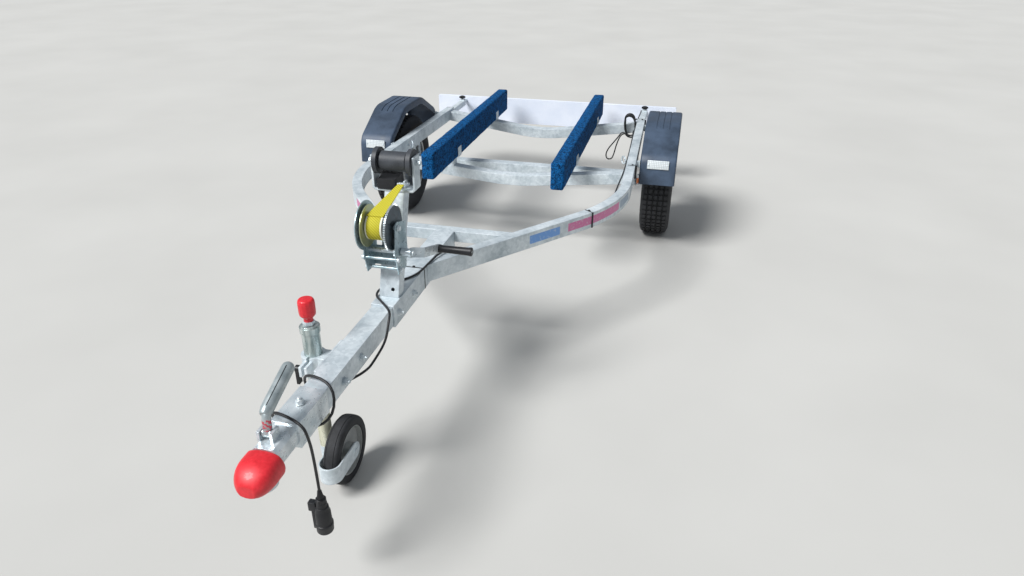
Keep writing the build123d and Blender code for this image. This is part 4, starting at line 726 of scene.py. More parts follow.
def carpet_finish():
    """Blue needle felt."""
    material, tree, shader, place = new_finish("blue_marine_carpet", roughness=0.95)
    fibres = add_node(tree, "TexNoise", spaced(place, FIBRE_MM, Detail=3.0, Roughness=0.75))
    tufts = add_node(tree, "TexNoise", spaced(place, TUFT_MM, Detail=3.0, Roughness=0.6))
    tone = add_node(tree, "Mix", {0: 0.3, 2: fibres, 3: tufts})
    feed(shader, {"Base Color": two_tone(tree, tone, "#03182F", "#155F9C", 0.42, 0.58)})
    feed(shader, {"Specular IOR Level": 0.12})
    add_relief(tree, shader, tone, 2.2, 0.9)
    return material


def webbing_finish(name, edges=None):
    """Twill webbing; edges are the X of its two sides, where a white stripe is woven in."""
    material, tree, shader, place = new_finish(name, roughness=0.78)
    ribs = add_node(tree, "TexWave", spaced(place, TWILL_MM * TURN, Distortion=0.6), "Fac",
                    bands_direction="DIAGONAL")
    yarn = two_tone(tree, ribs, "#968C12", "#CCC432", 0.2, 0.8)
    if edges:
        x = add_node(tree, "SeparateXYZ", {"Vector": place}, "X")
        inside = within(tree, x, edges[0] + WHITE_EDGE, edges[1] - WHITE_EDGE)
        yarn = add_node(tree, "Mix", {0: inside, 6: "#EFEFE2", 7: yarn}, 2, data_type="RGBA")
    feed(shader, {"Base Color": yarn})
    add_relief(tree, shader, ribs, 0.4, 0.8)
    return material


carpet = carpet_finish()
strap_webbing = webbing_finish("yellow_webbing", edges=(roll_low.x, roll_high.x))
tail_webbing = webbing_finish("yellow_webbing_tail")
print("made", carpet.name, strap_webbing.name)

# %% [markdown]
# ## Finishes on the CAD pieces
#
# A CAD piece whose shape is right keeps its mesh and gets a finish in its material slot.

# %% Finish the CAD pieces
SLOT_OF = {piece["node"]: piece["material_slot"] for piece in frame["record"]["subparts"]}
FINISH_OF_SLOT = {
    "galvanised": galvanised, "zinc": blue_zinc, "wheel_paint": wheel_paint, "cast": cast_iron,
    "tread_rubber": tyre_rubber, "black_rubber": black_rubber, "carpet": carpet, "webbing": strap_webbing,
    "guard_plastic": guard_plastic, "black_plastic": black_nylon, "red_plastic": red_vinyl,
    "white_board": board_plastic, "lamp_red": tail_lens, "amber": marker_lens,
    "reflector_white": reflector_lens, "plate_blank": plate_film, "cable_sheath": cable_vinyl,
    "light_grey_plastic": grey_nylon,
}
FINISH_OF_NODE = {
    "rail_left": banded_rail, "rail_right": banded_rail, "winch_drum": gear_steel,
    "winch_frame": winch_zinc, "bow_roller": roller_rubber, "strap_tail": tail_webbing,
    "coupling_lever": lever_zinc, "jockey_tube": tube_zinc_painted_highlights, "jockey_leg": yellow_zinc,
    "jockey_fork": galvanised,
}
for node_name, node in nodes.items():
    finish = FINISH_OF_NODE.get(node_name, FINISH_OF_SLOT[SLOT_OF[node_name]])
    node.data.materials.clear()
    node.data.materials.append(finish)
for sheath in (rear_cable, rail_cable, front_cable):
    sheath.data.materials.append(cable_vinyl)
print("finished", len(nodes), "CAD pieces")

# %% [markdown]
# ## Tyres
#
# A tyre is a closed ring: beads, bulging sidewalls, round shoulders and a tread with four grooves
# round it, cut across into blocks. It could be carved from the CAD ring, but here its profile is
# drawn out round the axle like a turned piece, and the rubber between the blocks is pushed in
# afterwards. One tyre is made and copied to the other side.

# %% Road tyres
TYRE_SIDE = [
    (55.0, 152.3), (60.0, 165.0), (67.0, 182.0), (71.5, 196.0), (72.5, 206.0), (72.0, 218.0), (69.0, 232.0),
    (63.0, 245.0), (57.0, 251.5), (50.0, 253.4), (41.0, 254.0), (40.0, 247.0), (34.0, 247.0), (33.0, 254.0),
    (16.0, 254.0), (15.0, 247.0), (9.0, 247.0), (8.0, 254.0),
]
TYRE_SEGMENTS = 168
SIPE_EVERY = 3
SIPE_DEPTH = 0.0045
RIB_RADIUS = 0.2515

WHEEL = middle_of("tyre_right")


def ring_profile(half):
    """A closed profile from one half of it, mirrored in the wheel's middle plane."""
    return [*half, *[(-x, radius) for x, radius in reversed(half)], half[0]]


tyre = turned("tyre_tread_right", ring_profile(TYRE_SIDE), WHEEL, (1, 0, 0), TYRE_SEGMENTS, open_ring=True)


def is_sipe(face):
    """True on the tread's ribs, on one segment in every few."""
    across = face.center.y - WHEEL.y
    up = face.center.z - WHEEL.z
    step = int((math.atan2(up, across) / (2 * math.pi) + 1) * TYRE_SEGMENTS)
    return math.hypot(across, up) > RIB_RADIUS and step % SIPE_EVERY == 0


draw_out(tyre, is_sipe, -SIPE_DEPTH)
smooth_up_to(35)
print("tyre faces", len(tyre.data.polygons))

other = spread_out("tyre_tread_left", tyre.copy(), [((-2 * WHEEL.x, 0, 0), (0, 0, 1))])
fitted(tyre, "wheel_right", tyre_rubber, ["tyre_right"])
fitted(other, "wheel_left", tyre_rubber, ["tyre_left"])

# %% [markdown]
# The jockey wheel has a solid rubber tyre with a slightly crowned tread and a shallow groove beside
# each shoulder.

# %% Jockey tyre
JOCKEY_WHEEL = middle_of("jockey_tyre")
JOCKEY_SIDE = [
    (22.0, 72.0), (22.0, 90.0), (20.5, 94.0), (17.5, 97.5), (14.0, 98.8), (13.0, 97.6), (11.0, 97.6),
    (10.0, 99.4), (4.0, 100.0),
]
JOCKEY_SEGMENTS = 96
jockey_tyre = turned("jockey_tyre_tread", ring_profile(JOCKEY_SIDE), JOCKEY_WHEEL, (1, 0, 0),
                     JOCKEY_SEGMENTS, open_ring=True)
fitted(jockey_tyre, "jockey_wheel", tyre_rubber, ["jockey_tyre"])
print("jockey tyre faces", len(jockey_tyre.data.polygons))

# %% [markdown]
# ## Nuts and bolts
#
# All bolts here are plain hexagon heads on a round washer. One model is made along Z: a washer, then
# a six-sided head whose corners are turned off. Copies go wherever the photograph shows a bolt, with
# the direction that the head faces.

# %% Bolt model
def bolt_model(across_mm, height_mm, washer_mm=0.0, tip_mm=0.0):
    """A hexagon head or nut with its washer under it and, for a nut, the bolt's tip above it."""
    washer = washer_mm or across_mm * 0.68
    thick = 1.6
    corner = across_mm / 2 / math.cos(math.radians(30))
    parts = [turned("washer", [(0, washer), (thick, washer), (thick, corner * 0.8)], (0, 0, 0), sides=20)]
    steps = [(thick, corner * 0.98), (thick + height_mm * 0.8, corner), (thick + height_mm, corner * 0.86)]
    parts.append(turned("head", steps, (0, 0, 0), sides=6))
    if tip_mm:
        tip = across_mm * 0.29
        top = thick + height_mm
        steps = [(top - 1, tip), (top + tip_mm - 1, tip), (top + tip_mm, tip * 0.8)]
        parts.append(turned("tip", steps, (0, 0, 0), sides=14))
    return joined("bolt", parts)


def bolts(name, body, places, across_mm=17.0, height_mm=9.0, tip_mm=0.0):
    """Plated bolts or nuts on one body, each at a place and facing a direction."""
    piece = spread_out(name, bolt_model(across_mm, height_mm, tip_mm=tip_mm), places)
    return fitted(piece, body, blue_zinc)


RIGHT, LEFT, UP, BACK = (1, 0, 0), (-1, 0, 0), (0, 0, 1), (0, 1, 0)

# %% [markdown]
# Where the bolts are: through the drawbar at the jockey clamp and where the inner bar slides in the
# outer one, on the coupling's shank and on the bunk saddles, and four nuts on each wheel. Those of
# the winch and the bow roller come with the winch.

# %% Frame bolts
BAR_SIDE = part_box("drawbar_inner")[1].x
OUTER_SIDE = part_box("drawbar_outer")[1].x
bolts("drawbar_bolts", "chassis", [
    ((BAR_SIDE, -1.2055, 0.431), RIGHT), ((BAR_SIDE, -1.3085, 0.425), RIGHT),
    ((OUTER_SIDE, -0.955, 0.430), RIGHT), ((OUTER_SIDE, -0.835, 0.430), RIGHT),
    ((-OUTER_SIDE, -0.955, 0.430), LEFT), ((-OUTER_SIDE, -0.835, 0.430), LEFT),
    ((0.0, -1.4655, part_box("coupling_body")[1].z - 0.0180), UP),
], tip_mm=6.0)
saddle_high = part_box("bunk_saddles")[1]
MEMBER_YS = [middle_of(name).y for name in ("front_bunk_member", "rear_bunk_member")]
places = [((side * saddle_high.x, y + offset, saddle_high.z - 0.020), (side, 0, 0))
          for side in (-1, 1) for y in MEMBER_YS for offset in (-0.012, 0.012)]
bolts("saddle_bolts", "chassis", places, across_mm=13.0, height_mm=6.0)
print("frame bolts made")

# %% Wheel nuts
LUG_CIRCLE = 0.050
LUGS = 4
DISC_FACE = WHEEL.x + 0.021
for side, body in ((1, "wheel_right"), (-1, "wheel_left")):
    angles = [2 * math.pi * (index + 0.5) / LUGS for index in range(LUGS)]
    middles = [WHEEL + LUG_CIRCLE * Vector((0, math.cos(angle), math.sin(angle))) for angle in angles]
    places = [((side * DISC_FACE, y, z), (side, 0, 0)) for _, y, z in middles]
    bolts(body + "_nuts", body, places, across_mm=17.0, height_mm=12.0)
print("wheel nuts made")

# %% [markdown]
# ## Carpeted bunks
#
# Each bunk is a plank wrapped in carpet. The wrap rounds the plank's corners, so the piece is a block
# with wide, soft edges, cut into short lengths and very slightly uneven, as felt over wood is. A
# Displace modifier with a cloud texture gives that unevenness, and the finish gives the pile.

# %% Bunks
PILE = 0.004
CORNER = 0.009
CUT_EVERY = 0.03
SIDE_CUTS = 3
UNEVENNESS = 0.003
carpet_waves = bpy.data.textures.new("carpet_waves", "CLOUDS")
carpet_waves.noise_scale = 0.05


def carpeted_bunk(name, node_name):
    """A soft, slightly uneven block round the CAD plank, thicker than it by the pile."""
    low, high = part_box(node_name)
    pile = Vector((PILE, PILE, PILE))
    low, high = low - pile, high + pile
    piece = block(name, low, high, CORNER * 1000, 3)
    edit(piece)
    length = high.y - low.y
    cuts = int(length / CUT_EVERY)
    for index in range(1, cuts):
        cut((0, low.y + length * index / cuts, 0), (0, 1, 0))
    flat = high.z - low.z - 2 * CORNER
    for index in range(1, SIDE_CUTS + 1):
        cut((0, 0, low.z + CORNER + flat * index / (SIDE_CUTS + 1)), (0, 0, 1))
    leave_edit()
    modified(piece, "DISPLACE", texture=carpet_waves, texture_coords="LOCAL", strength=UNEVENNESS,
             mid_level=0.5)
    smooth_up_to(50)
    return fitted(piece, "chassis", carpet, [node_name])


for side in ("left", "right"):
    bunk = carpeted_bunk("bunk_carpet_" + side, "bunk_" + side)
    print(bunk.name, len(bunk.data.polygons), "faces")

# %% [markdown]
# ## Mudguards
#
# A mudguard is moulded from one sheet: a five-faced arch with a flange down each side, rounded
# corners and three grooves pressed along its back. The arch starts as a flat plane for the top. Its
# end edges are extruded down to the shoulders and the feet, the folds are bevelled, and the long
# edges are extruded into the flanges. Then the grooves are cut with bisect and pushed in, and
# Solidify gives the wall.

# %% Mudguards
GUARD_FLAT = 0.122
GROOVE_REACH = 0.160
GUARD_SHOULDER = (0.338, 0.478)
GUARD_LIP = 0.034
GROOVE = 0.006
GROOVES = (0.052, 0.082, 0.112)
GROOVE_DEPTH = 0.003
GUARD_WALL = 0.003
FOLD_ROUNDING = 0.035
EDGE_ROUNDING = 0.009
guard_low, guard_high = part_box("mudguard_right")
GUARD_Y = (guard_low.y + guard_high.y) / 2


def near(value, wanted, within=0.0015):
    return abs(value - wanted) < within


def guard_arch():
    """The arch's outer skin, on the right-hand side."""
    deselect()
    width = guard_high.x - guard_low.x
    middle_x = (guard_high.x + guard_low.x) / 2
    bpy.ops.mesh.primitive_plane_add(size=1.0, location=(middle_x, GUARD_Y, guard_high.z))
    piece = bpy.context.object
    piece.scale = (width, 2 * GUARD_FLAT, 1)
    bpy.ops.object.transform_apply()
    foot = (guard_high.y - guard_low.y) / 2
    corners = [(GUARD_FLAT, guard_high.z), GUARD_SHOULDER, (foot, guard_low.z)]
    for end in (-1, 1):
        for (y0, z0), (y1, z1) in zip(corners, corners[1:]):
            select_edges(piece, lambda a, b: all(near(p.y, GUARD_Y + end * y0) and near(p.z, z0)
                                                 for p in (a, b)))
            shift = (0, end * (y1 - y0), z1 - z0)
            bpy.ops.mesh.extrude_region_move(TRANSFORM_OT_translate={"value": shift})
            leave_edit()
    return piece


def add_flanges(piece):
    """Extrude the long edges inwards along the sides, towards the wheel's middle."""
    foot = (guard_high.y - guard_low.y) / 2
    for x in (guard_low.x, guard_high.x):
        select_edges(piece, lambda a, b: near(a.x, x) and near(b.x, x))
        bpy.ops.mesh.extrude_region_move()
        share_y = 1 - GUARD_LIP / foot
        share_z = 1 - GUARD_LIP / (guard_high.z - guard_low.z)
        bpy.ops.transform.resize(value=(1, share_y, share_z), center_override=(x, GUARD_Y, guard_low.z))
        leave_edit()


def is_fold(a, b):
    """True on the four folds across the arch."""
    across = near(a.y, b.y) and near(a.z, b.z) and abs(a.x - b.x) > 0.1
    return across and any(near(abs(a.y - GUARD_Y), y) and near(a.z, z)
                          for y, z in ((GUARD_FLAT, guard_high.z), GUARD_SHOULDER))


guard = guard_arch()
select_edges(guard, is_fold)
bpy.ops.mesh.bevel(offset=FOLD_ROUNDING, segments=5, affect="EDGES")
leave_edit()
add_flanges(guard)
edit(guard, element="EDGE")
bpy.ops.mesh.normals_make_consistent()
bpy.ops.mesh.select_all(action="DESELECT")
bpy.ops.mesh.edges_select_sharp(sharpness=math.radians(70))
bpy.ops.mesh.bevel(offset=EDGE_ROUNDING, segments=3, affect="EDGES")
for start in GROOVES:
    for x in (start, start + GROOVE):
        cut((guard_low.x + x, 0, 0), (1, 0, 0))
for end in (-1, 1):
    cut((0, GUARD_Y + end * GROOVE_REACH, 0), (0, 1, 0))
bpy.ops.mesh.select_all(action="SELECT")
bpy.ops.mesh.normals_make_consistent()
leave_edit()


def is_groove(face):
    """True between the two cuts of a groove."""
    x = face.center.x - guard_low.x
    across = any(start < x < start + GROOVE for start in GROOVES)
    return across and abs(face.center.y - GUARD_Y) < GROOVE_REACH


draw_out(guard, is_groove, -GROOVE_DEPTH)
modified(guard, "SOLIDIFY", thickness=GUARD_WALL, offset=-1.0)
smooth_up_to(35)
guard.name = "mudguard_shell_right"
print("mudguard faces", len(guard.data.polygons))

# %% [markdown]
# The other mudguard is its mirror image: a copy with a negative scale along X, whose faces are then
# turned outwards again.

# %% Left mudguard
left_guard = guard.copy()
left_guard.data = guard.data.copy()
left_guard.name = "mudguard_shell_left"
bpy.context.collection.objects.link(left_guard)
left_guard.scale = (-1, 1, 1)
only(left_guard)
bpy.ops.object.transform_apply()
edit(left_guard)
bpy.ops.mesh.flip_normals()
leave_edit()
fitted(guard, "chassis", guard_plastic, ["mudguard_right"])
fitted(left_guard, "chassis", guard_plastic, ["mudguard_left"])
print("mudguards made")

# %% [markdown]
# ## Small parts of the front
#
# The crank's grip is a turned plastic sleeve with a flared end. The jockey wheel's knob is a tapered
# red grip over a plated nut. The plug has a gland, a ribbed body and a hinged cover's lug. Each is
# turned from a list of distances and radii, and stands for its CAD node.

# %% Crank grip
grip_low, grip_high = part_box("crank_grip")
GRIP_LINE = (grip_low + grip_high) / 2
length = (grip_high.x - grip_low.x) * 1000
steps = [(0, 9.0), (0, 12.5), (3, 13.5), (8, 12.2), (14, 11.2), (length * 0.55, 11.8), (length - 12, 12.4),
         (length - 6, 13.3), (length - 2, 13.4), (length, 11.5), (length, 4.0), (length - 3, 3.5)]
grip = turned("crank_grip_sleeve", steps, (grip_low.x, GRIP_LINE.y, GRIP_LINE.z), RIGHT, 28)
fitted(grip, "winch_crank", black_nylon, ["crank_grip"])

# %% Jockey knob
knob_low, knob_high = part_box("jockey_knob")
KNOB_X = (knob_low.x + knob_high.x) / 2
KNOB_Y = (knob_low.y + knob_high.y) / 2
steps = [(0, 12.5), (22, 12.5), (27, 18.5), (31, 21.5), (40, 22.3), (62, 22.5), (70, 21.8), (74, 20.0),
         (76, 17.0)]
knob = turned("jockey_knob_grip", steps, (KNOB_X, KNOB_Y, knob_low.z), UP, 14)
fitted(round_edges(knob, 1.2, 2, 20), "jockey_tube", red_vinyl, ["jockey_knob"])
collar = turned("jockey_knob_nut", [(0, 15.5), (2, 16.5), (9, 16.5), (11, 15.0), (11, 12.6)],
                (KNOB_X, KNOB_Y, knob_low.z + 0.001), UP, 6)
fitted(collar, "jockey_tube", blue_zinc)

# %% Plug
plug_low, plug_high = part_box("plug")
PLUG_X = 0.0570
PLUG_Y = -1.5325
steps = [(0, 15.0), (0, 19.0), (3, 20.5), (14, 20.5), (16, 21.5), (24, 21.5), (26, 19.5), (60, 18.5),
         (62, 17.5), (70, 16.0), (76, 15.5), (77, 13.5), (88, 13.0), (90, 10.0)]
shell = turned("plug_shell", steps, (PLUG_X, PLUG_Y, plug_low.z), UP, 28)
gland = turned("plug_gland", [(0, 11.5), (0, 12.8), (12, 12.8), (14, 10.5)],
               (PLUG_X, PLUG_Y, plug_low.z + 0.088), UP, 8)
cable_relief = turned("plug_cable_relief", [(0, 8.5), (2, 8.8), (9, 7.4), (16, 6.2), (24, 5.0), (26, 4.0)],
                      (PLUG_X, PLUG_Y, plug_high.z - 0.012), UP, 20)
lug = block("plug_cover_lug", (plug_low.x + 0.006, PLUG_Y - 0.008, plug_low.z + 0.060),
            (PLUG_X - 0.013, PLUG_Y + 0.008, plug_low.z + 0.086), 2.0)
hinge = block("plug_cover_hinge", (plug_low.x + 0.012, PLUG_Y - 0.006, plug_low.z + 0.004),
              (PLUG_X - 0.017, PLUG_Y + 0.006, plug_low.z + 0.062), 1.5)
plug_shell = joined("plug_shell", [shell, gland, lug, hinge])
fitted(plug_shell, "chassis", black_nylon, ["plug"])
fitted(cable_relief, "chassis", black_rubber)
print("grip, knob and plug made")

# %% [markdown]
# ## Winch
#
# The strap is wound in many turns, so its sides show a spiral of edges. It is turned like a bobbin,
# with a shallow step for each turn. Nuts hold the winch's plates, its shaft and its rods.

# %% Strap roll
STRAP_CORE = 19.3
STRAP_LAYER = 2.2
width = (roll_high.x - roll_low.x) * 1000
outer = (roll_high.z - roll_low.z) / 2 * 1000
radii = [STRAP_CORE + STRAP_LAYER * index for index in range(int((outer - STRAP_CORE) / STRAP_LAYER))]
side = []
for radius in radii:
    side += [(0.8, radius), (0.0, radius + STRAP_LAYER * 0.5)]
steps = [*side, (0.5, outer - 0.8), (2.0, outer), (width - 2.0, outer), (width - 0.5, outer - 0.8)]
steps += [(width - distance, radius) for distance, radius in reversed(side)]
steps.append(side[0])
roll = turned("strap_winding", steps, (roll_low.x, DRUM_Y, DRUM_Z), RIGHT, 48, open_ring=True)
fitted(roll, "winch_drum", strap_webbing, ["strap_roll"])
print("strap winding faces", len(roll.data.polygons))

# %% Winch nuts
PLATE_RIGHT = 0.049
PLATE_LEFT = -0.048
bolts("winch_rod_nuts", "chassis", [
    ((PLATE_RIGHT, -0.9505, 0.568), RIGHT), ((PLATE_RIGHT, -0.9685, 0.6046), RIGHT),
    ((PLATE_RIGHT + 0.001, DRUM_Y, DRUM_Z), RIGHT), ((PLATE_LEFT, -0.9505, 0.568), LEFT),
    ((PLATE_LEFT, -0.9685, 0.6046), LEFT), ((PLATE_LEFT, DRUM_Y, DRUM_Z), LEFT),
], across_mm=13.0, height_mm=6.0)
YOKE_SIDE = 0.0705
ROLLER_Y = middle_of("bow_roller").y
ROLLER_Z = 0.840
bolts("roller_bolts", "chassis", [
    ((YOKE_SIDE, ROLLER_Y, ROLLER_Z), RIGHT), ((-YOKE_SIDE, ROLLER_Y, ROLLER_Z), LEFT),
], across_mm=13.0, height_mm=6.0)
print("winch nuts made")

# %% [markdown]
# ## Lights and plate
#
# Each reflector and lamp is held by two small screws, and the plate by four. The plate is blank, in a
# thin black frame, and each lamp stands on a thin black foot.

# %% Screws of the reflectors
reflector_low, reflector_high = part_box("front_reflectors")
REFLECTOR_SIZE = (0.098, 0.040, 0.005)
GUARD_MIDDLE = (guard_low.x + guard_high.x) / 2
REFLECTOR_Z = (reflector_low.z + reflector_high.z) / 2
tilt = Vector((0, -0.120, 0.012)).normalized()
places = [((side * GUARD_MIDDLE + offset, reflector_low.y + 0.0024, REFLECTOR_Z), tuple(tilt))
          for side in (-1, 1) for offset in (-0.042, 0.042)]
screw = turned("screw", [(0, 4.0), (1.6, 3.6), (2.4, 2.2)], (0, 0, 0), sides=14)
fitted(spread_out("reflector_screws", screw, places), "chassis", blue_zinc)
half = [value / 2 for value in REFLECTOR_SIZE]
lens = block("lens", [-value for value in half], half, 1.5)
faces = [((side * GUARD_MIDDLE, reflector_low.y + 0.0047, REFLECTOR_Z), tuple(tilt)) for side in (-1, 1)]
reflectors = spread_out("reflector_lenses", lens, faces)
fitted(reflectors, "chassis", reflector_lens, ["front_reflectors"])

# %% Plate frame and lamp frames
plate_low, plate_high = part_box("number_plate")
FRAME_OUT, FRAME_IN = 0.006, 0.001
FRAME_Y = (plate_high.y - 0.002, plate_high.y + 0.002)
WIDE = (plate_low.x - FRAME_OUT, plate_high.x + FRAME_OUT)
HIGH = (plate_low.z, plate_high.z)
frame_parts = []
for (x0, x1), (z0, z1) in (
    (WIDE, (plate_low.z - FRAME_OUT, plate_low.z + FRAME_IN)),
    (WIDE, (plate_high.z - FRAME_IN, plate_high.z + FRAME_OUT)),
    ((plate_low.x - FRAME_OUT, plate_low.x + FRAME_IN), HIGH),
    ((plate_high.x - FRAME_IN, plate_high.x + FRAME_OUT), HIGH),
):
    frame_parts.append(block("plate_frame_bar", (x0, FRAME_Y[0], z0), (x1, FRAME_Y[1], z1), 0.6))
fitted(joined("plate_frame", frame_parts), "chassis", black_nylon)
LAMP_LENGTH = 0.210
lamp_parts = []
for side in (-1, 1):
    x0, x1 = sorted((side * lamp_high.x, side * (lamp_high.x - LAMP_LENGTH)))
    lamp_parts.append(block("lamp_foot", (x0 - 0.003, lamp_low.y - 0.001, lamp_low.z - 0.003),
                            (x1 + 0.003, lamp_low.y + 0.010, lamp_high.z + 0.003), 2.0))
fitted(joined("lamp_feet", lamp_parts), "chassis", black_nylon)
lens_screw = turned("screw", [(0, 4.5), (1.4, 4.0), (2.0, 2.5)], (0, 0, 0), sides=14)
places = [((side * (lamp_high.x - inset), lamp_high.y, (lamp_low.z + lamp_high.z) / 2), BACK)
          for side in (-1, 1) for inset in (0.012, 0.198)]
places += [((side * (plate_high.x - 0.030), plate_high.y, z), BACK)
           for side in (-1, 1) for z in (plate_low.z + 0.012, plate_high.z - 0.012)]
fitted(spread_out("lens_screws", lens_screw, places), "chassis", blue_zinc)
print("lights and plate made")

# %% [markdown]
# ## Star knobs of the light board
#
# A moulded star knob with six lobes clamps each arm. It starts as a thick disc of twelve sides,
# every other side is drawn out into a lobe, and its edges are rounded.

# %% Star knobs
star_low, star_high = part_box("board_knobs")
LOBE = 0.005
STAR_SIDES = 12


def is_lobe(face):
    """True on every other side of the disc."""
    step = int(math.degrees(math.atan2(face.center.y, face.center.x)) // (360 / STAR_SIDES))
    return abs(face.normal.z) < 0.5 and step % 2 == 0 and 0.003 < face.center.z < 0.011


star = turned("star", [(0, 13.5), (2, 14.2), (12, 14.2), (15, 10.5)], (0, 0, 0), sides=STAR_SIDES)
draw_out(star, is_lobe, LOBE)
round_edges(star, 1.2)
STAR_X = star_high.x - (star_high.y - star_low.y) / 2
STAR_Y = (star_low.y + star_high.y) / 2
places = [((side * STAR_X, STAR_Y, star_low.z), UP) for side in (-1, 1)]
fitted(spread_out("star_knobs", star, places), "chassis", black_nylon, ["board_knobs"])
print("star knobs made")

# %% [markdown]
# ## Ties, eyes and grommets
#
# Black ties hold the cable to the rails and the drawbar. A tie is a thin strap pulled round the tube,
# so each is a rounded block a millimetre larger all round and five wide, turned to the rail's
# direction, with the lock's small head on top.

# %% Ties
def tie(size, place, heading=0.0):
    """A strap round a tube of this width and height, in metres, at a place on its middle line."""
    half = (size[0] / 2 + 0.0012, 0.0025, size[1] / 2 + 0.0012)
    band = block("band", [-value for value in half], half, 1.2)
    head = block("head", (-0.004, -0.0035, half[2] - 0.001), (0.004, 0.0035, half[2] + 0.004), 0.8)
    piece = joined("tie", [band, head])
    piece.rotation_euler = (0, 0, math.radians(heading))
    piece.location = place
    return settle(piece)


RAIL_MIDDLE_Z = middle_of("rail_right").z
ties = [
    tie((0.040, 0.060), (0.5835, 0.4900, RAIL_MIDDLE_Z), 1.3),
    tie((0.070, 0.070), (0.0, -0.7329, middle_of("drawbar_outer").z)),
    tie((0.040, 0.060), (0.5640, 1.3150, RAIL_MIDDLE_Z), 1.3),
    tie((0.042, 0.060), (0.4735, -0.1148, RAIL_MIDDLE_Z), -36.0),
]
fitted(joined("cable_ties", ties), "chassis", black_nylon)
print("ties made")

# %% [markdown]
# A ring for a tie-down strap is screwed into the inner side of each rail. The ring is a torus, with
# a stem and the nut that locks it.

# %% Tie-down eyes
EYE_Y = 0.6445
RAIL_INSIDE = 0.560


def eye(side):
    """One ring with its stem and its nut, on the right (1) or the left (-1)."""
    x = side * RAIL_INSIDE
    deselect()
    bpy.ops.mesh.primitive_torus_add(major_radius=0.017, minor_radius=0.0040, major_segments=28,
                                     minor_segments=10)
    ring = bpy.context.object
    ring.location = (x - side * 0.030, EYE_Y, RAIL_MIDDLE_Z + 0.004)
    ring.rotation_euler = (0, math.radians(90), math.radians(35))
    settle(ring)
    stem = turned("stem", [(0, 4.5), (14, 4.5)], (x, EYE_Y, RAIL_MIDDLE_Z), (-side, 0, 0), 12)
    nut = pointed(bolt_model(15.0, 7.0), (x, EYE_Y, RAIL_MIDDLE_Z), (-side, 0, 0))
    return [ring, stem, nut]


eyes = joined("tie_down_eyes", [*eye(1), *eye(-1)])
fitted(eyes, "chassis", blue_zinc)
print("tie-down eyes made")

# %% [markdown]
# ## Coupling cover
#
# The cover is a soft cap pulled over the ball head: wide and flat-backed behind, round and narrower
# in front. It starts as a cube, is divided, pulled part of the way towards a sphere and drawn in at
# the front, then smoothed and fitted to the CAD cover's size.

# %% Coupling cover
cover_low, cover_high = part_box("coupling_cover")
middle = (cover_low + cover_high) / 2
deselect()
bpy.ops.mesh.primitive_cube_add(size=1.0)
cover = bpy.context.object
cover.name = "coupling_cap"
cover.scale = (1.0, 1.6, 1.0)
bpy.ops.object.transform_apply()
edit(cover)
bpy.ops.mesh.subdivide(number_cuts=13)
leave_edit()
for corner in cover.data.vertices:
    x, y, z = corner.co
    ahead = max(0.0, min(1.0, (0.35 - y) / 1.15))
    fat = math.sqrt(max(0.0, 1 - ahead ** 2.4 * 0.80))
    round_x, round_z = x * math.sqrt(1 - 2 * z * z * 0.85), z * math.sqrt(1 - 2 * x * x * 0.85)
    drop = -0.16 * ahead ** 2
    corner.co = (round_x * fat, y, round_z * fat + drop)
modified(cover, "SUBSURF", levels=1)
spans = [(min(values), max(values)) for values in zip(*[corner.co for corner in cover.data.vertices])]
cover.scale = [(b - a) / (span[1] - span[0]) for a, b, span in zip(cover_low, cover_high, spans)]
cover.location = [a - span[0] * scale for a, span, scale in zip(cover_low, spans, cover.scale)]
settle(cover, 60.0)
print("cover", [round(value, 3) for value in cover.dimensions])
fitted(cover, "chassis", red_vinyl, ["coupling_cover"])
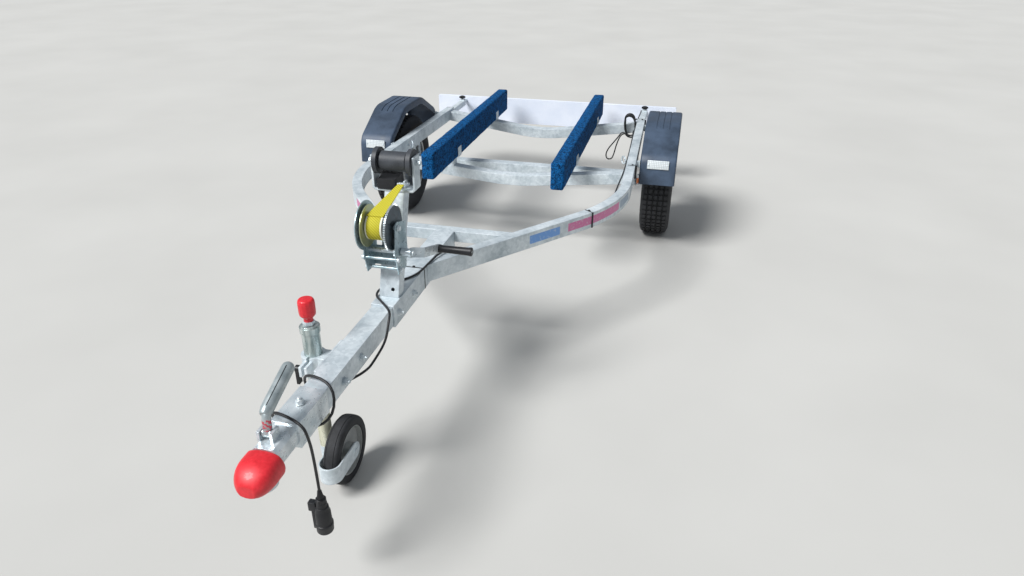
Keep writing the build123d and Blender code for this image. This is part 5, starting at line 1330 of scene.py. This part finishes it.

# %% [markdown]
# ## Coupling lever
#
# The handle is pressed from sheet into a hollow grip, thicker than its root, with a folded seam along
# its top and a round end. The grip is turned over the CAD bar. The seam is a thin black strip set on
# it: painted shade, the dark line of the crease where the sheet is folded together.

# %% Lever grip
LEVER_X = -0.011
KNEE = Vector((LEVER_X, -1.5825, 0.520))
TIP = Vector((LEVER_X, -1.4685, 0.567))
along = TIP - KNEE
reach = along.length * 1000
steps = [(-2, 10.0), (2, 12.6), (14, 15.0), (reach - 6, 15.0), (reach + 2, 13.6), (reach + 7, 9.6),
         (reach + 9.5, 3.6)]
sleeve = turned("lever_sleeve", steps, KNEE, along, 24)
# The seam is a thin black strip: painted shade in the crease of the fold, not a part of its own.
seam_shade_strip = block("seam_shade_strip", (-0.0009, -0.0012, 0.014), (0.0009, 0.0012, reach / 1000 - 0.006), 0.6)
aside = along.normalized().cross(Vector((1, 0, 0)))
side_place = KNEE + aside.normalized() * -0.0144 + Vector((0.003, 0, 0))
seam_shade_strip = pointed(seam_shade_strip, side_place, along)
fitted(sleeve, "coupling_lever", lever_zinc)
# The black strip is painted shade along the seam's crease.
fitted(seam_shade_strip, "coupling_lever", black_nylon)
seam_shade_strip.name = "lever_seam_shade"
print("lever made")

# %% [markdown]
# ## The cables' facts
#

print("cables made")

# %% [markdown]
# ## Floor and light
#
# The trailer stands on a plain pale floor that keeps its shadow. An overcast sky lights it from all
# round, a little blue, and one very wide lamp from above and the front-left gives the tops their
# brightness and the sides facing right their shade.

# %% Floor
deselect()
bpy.ops.mesh.primitive_plane_add(size=60.0)
floor = bpy.context.object
floor.name = "floor"
floor_paint, floor_tree, floor_shader, floor_place = new_finish("pale_floor", roughness=0.9)
floor_clouds = add_node(floor_tree, "TexNoise", spaced(floor_place, 900.0, Detail=3.0))
floor_tone = two_tone(floor_tree, floor_clouds, "#BCBBB7", "#C2C1BD")
feed(floor_shader, {"Base Color": floor_tone})
floor.data.materials.append(floor_paint)

# %% Sky and lamp
world = bpy.data.worlds.new("sky")
bpy.context.scene.world = world
world.use_nodes = True
feed(world.node_tree.nodes["Background"], {"Color": (0.86, 0.92, 1.0, 1.0), "Strength": 0.36})
lamp_data = bpy.data.lights.new("key", "SUN")
lamp_data.energy = 4.3
lamp_data.angle = math.radians(25.0)
lamp = bpy.data.objects.new("key", lamp_data)
lamp.rotation_euler = (math.radians(30.0), math.radians(-30.0), 0.0)
bpy.context.collection.objects.link(lamp)
bpy.context.scene.view_settings.view_transform = "Standard"
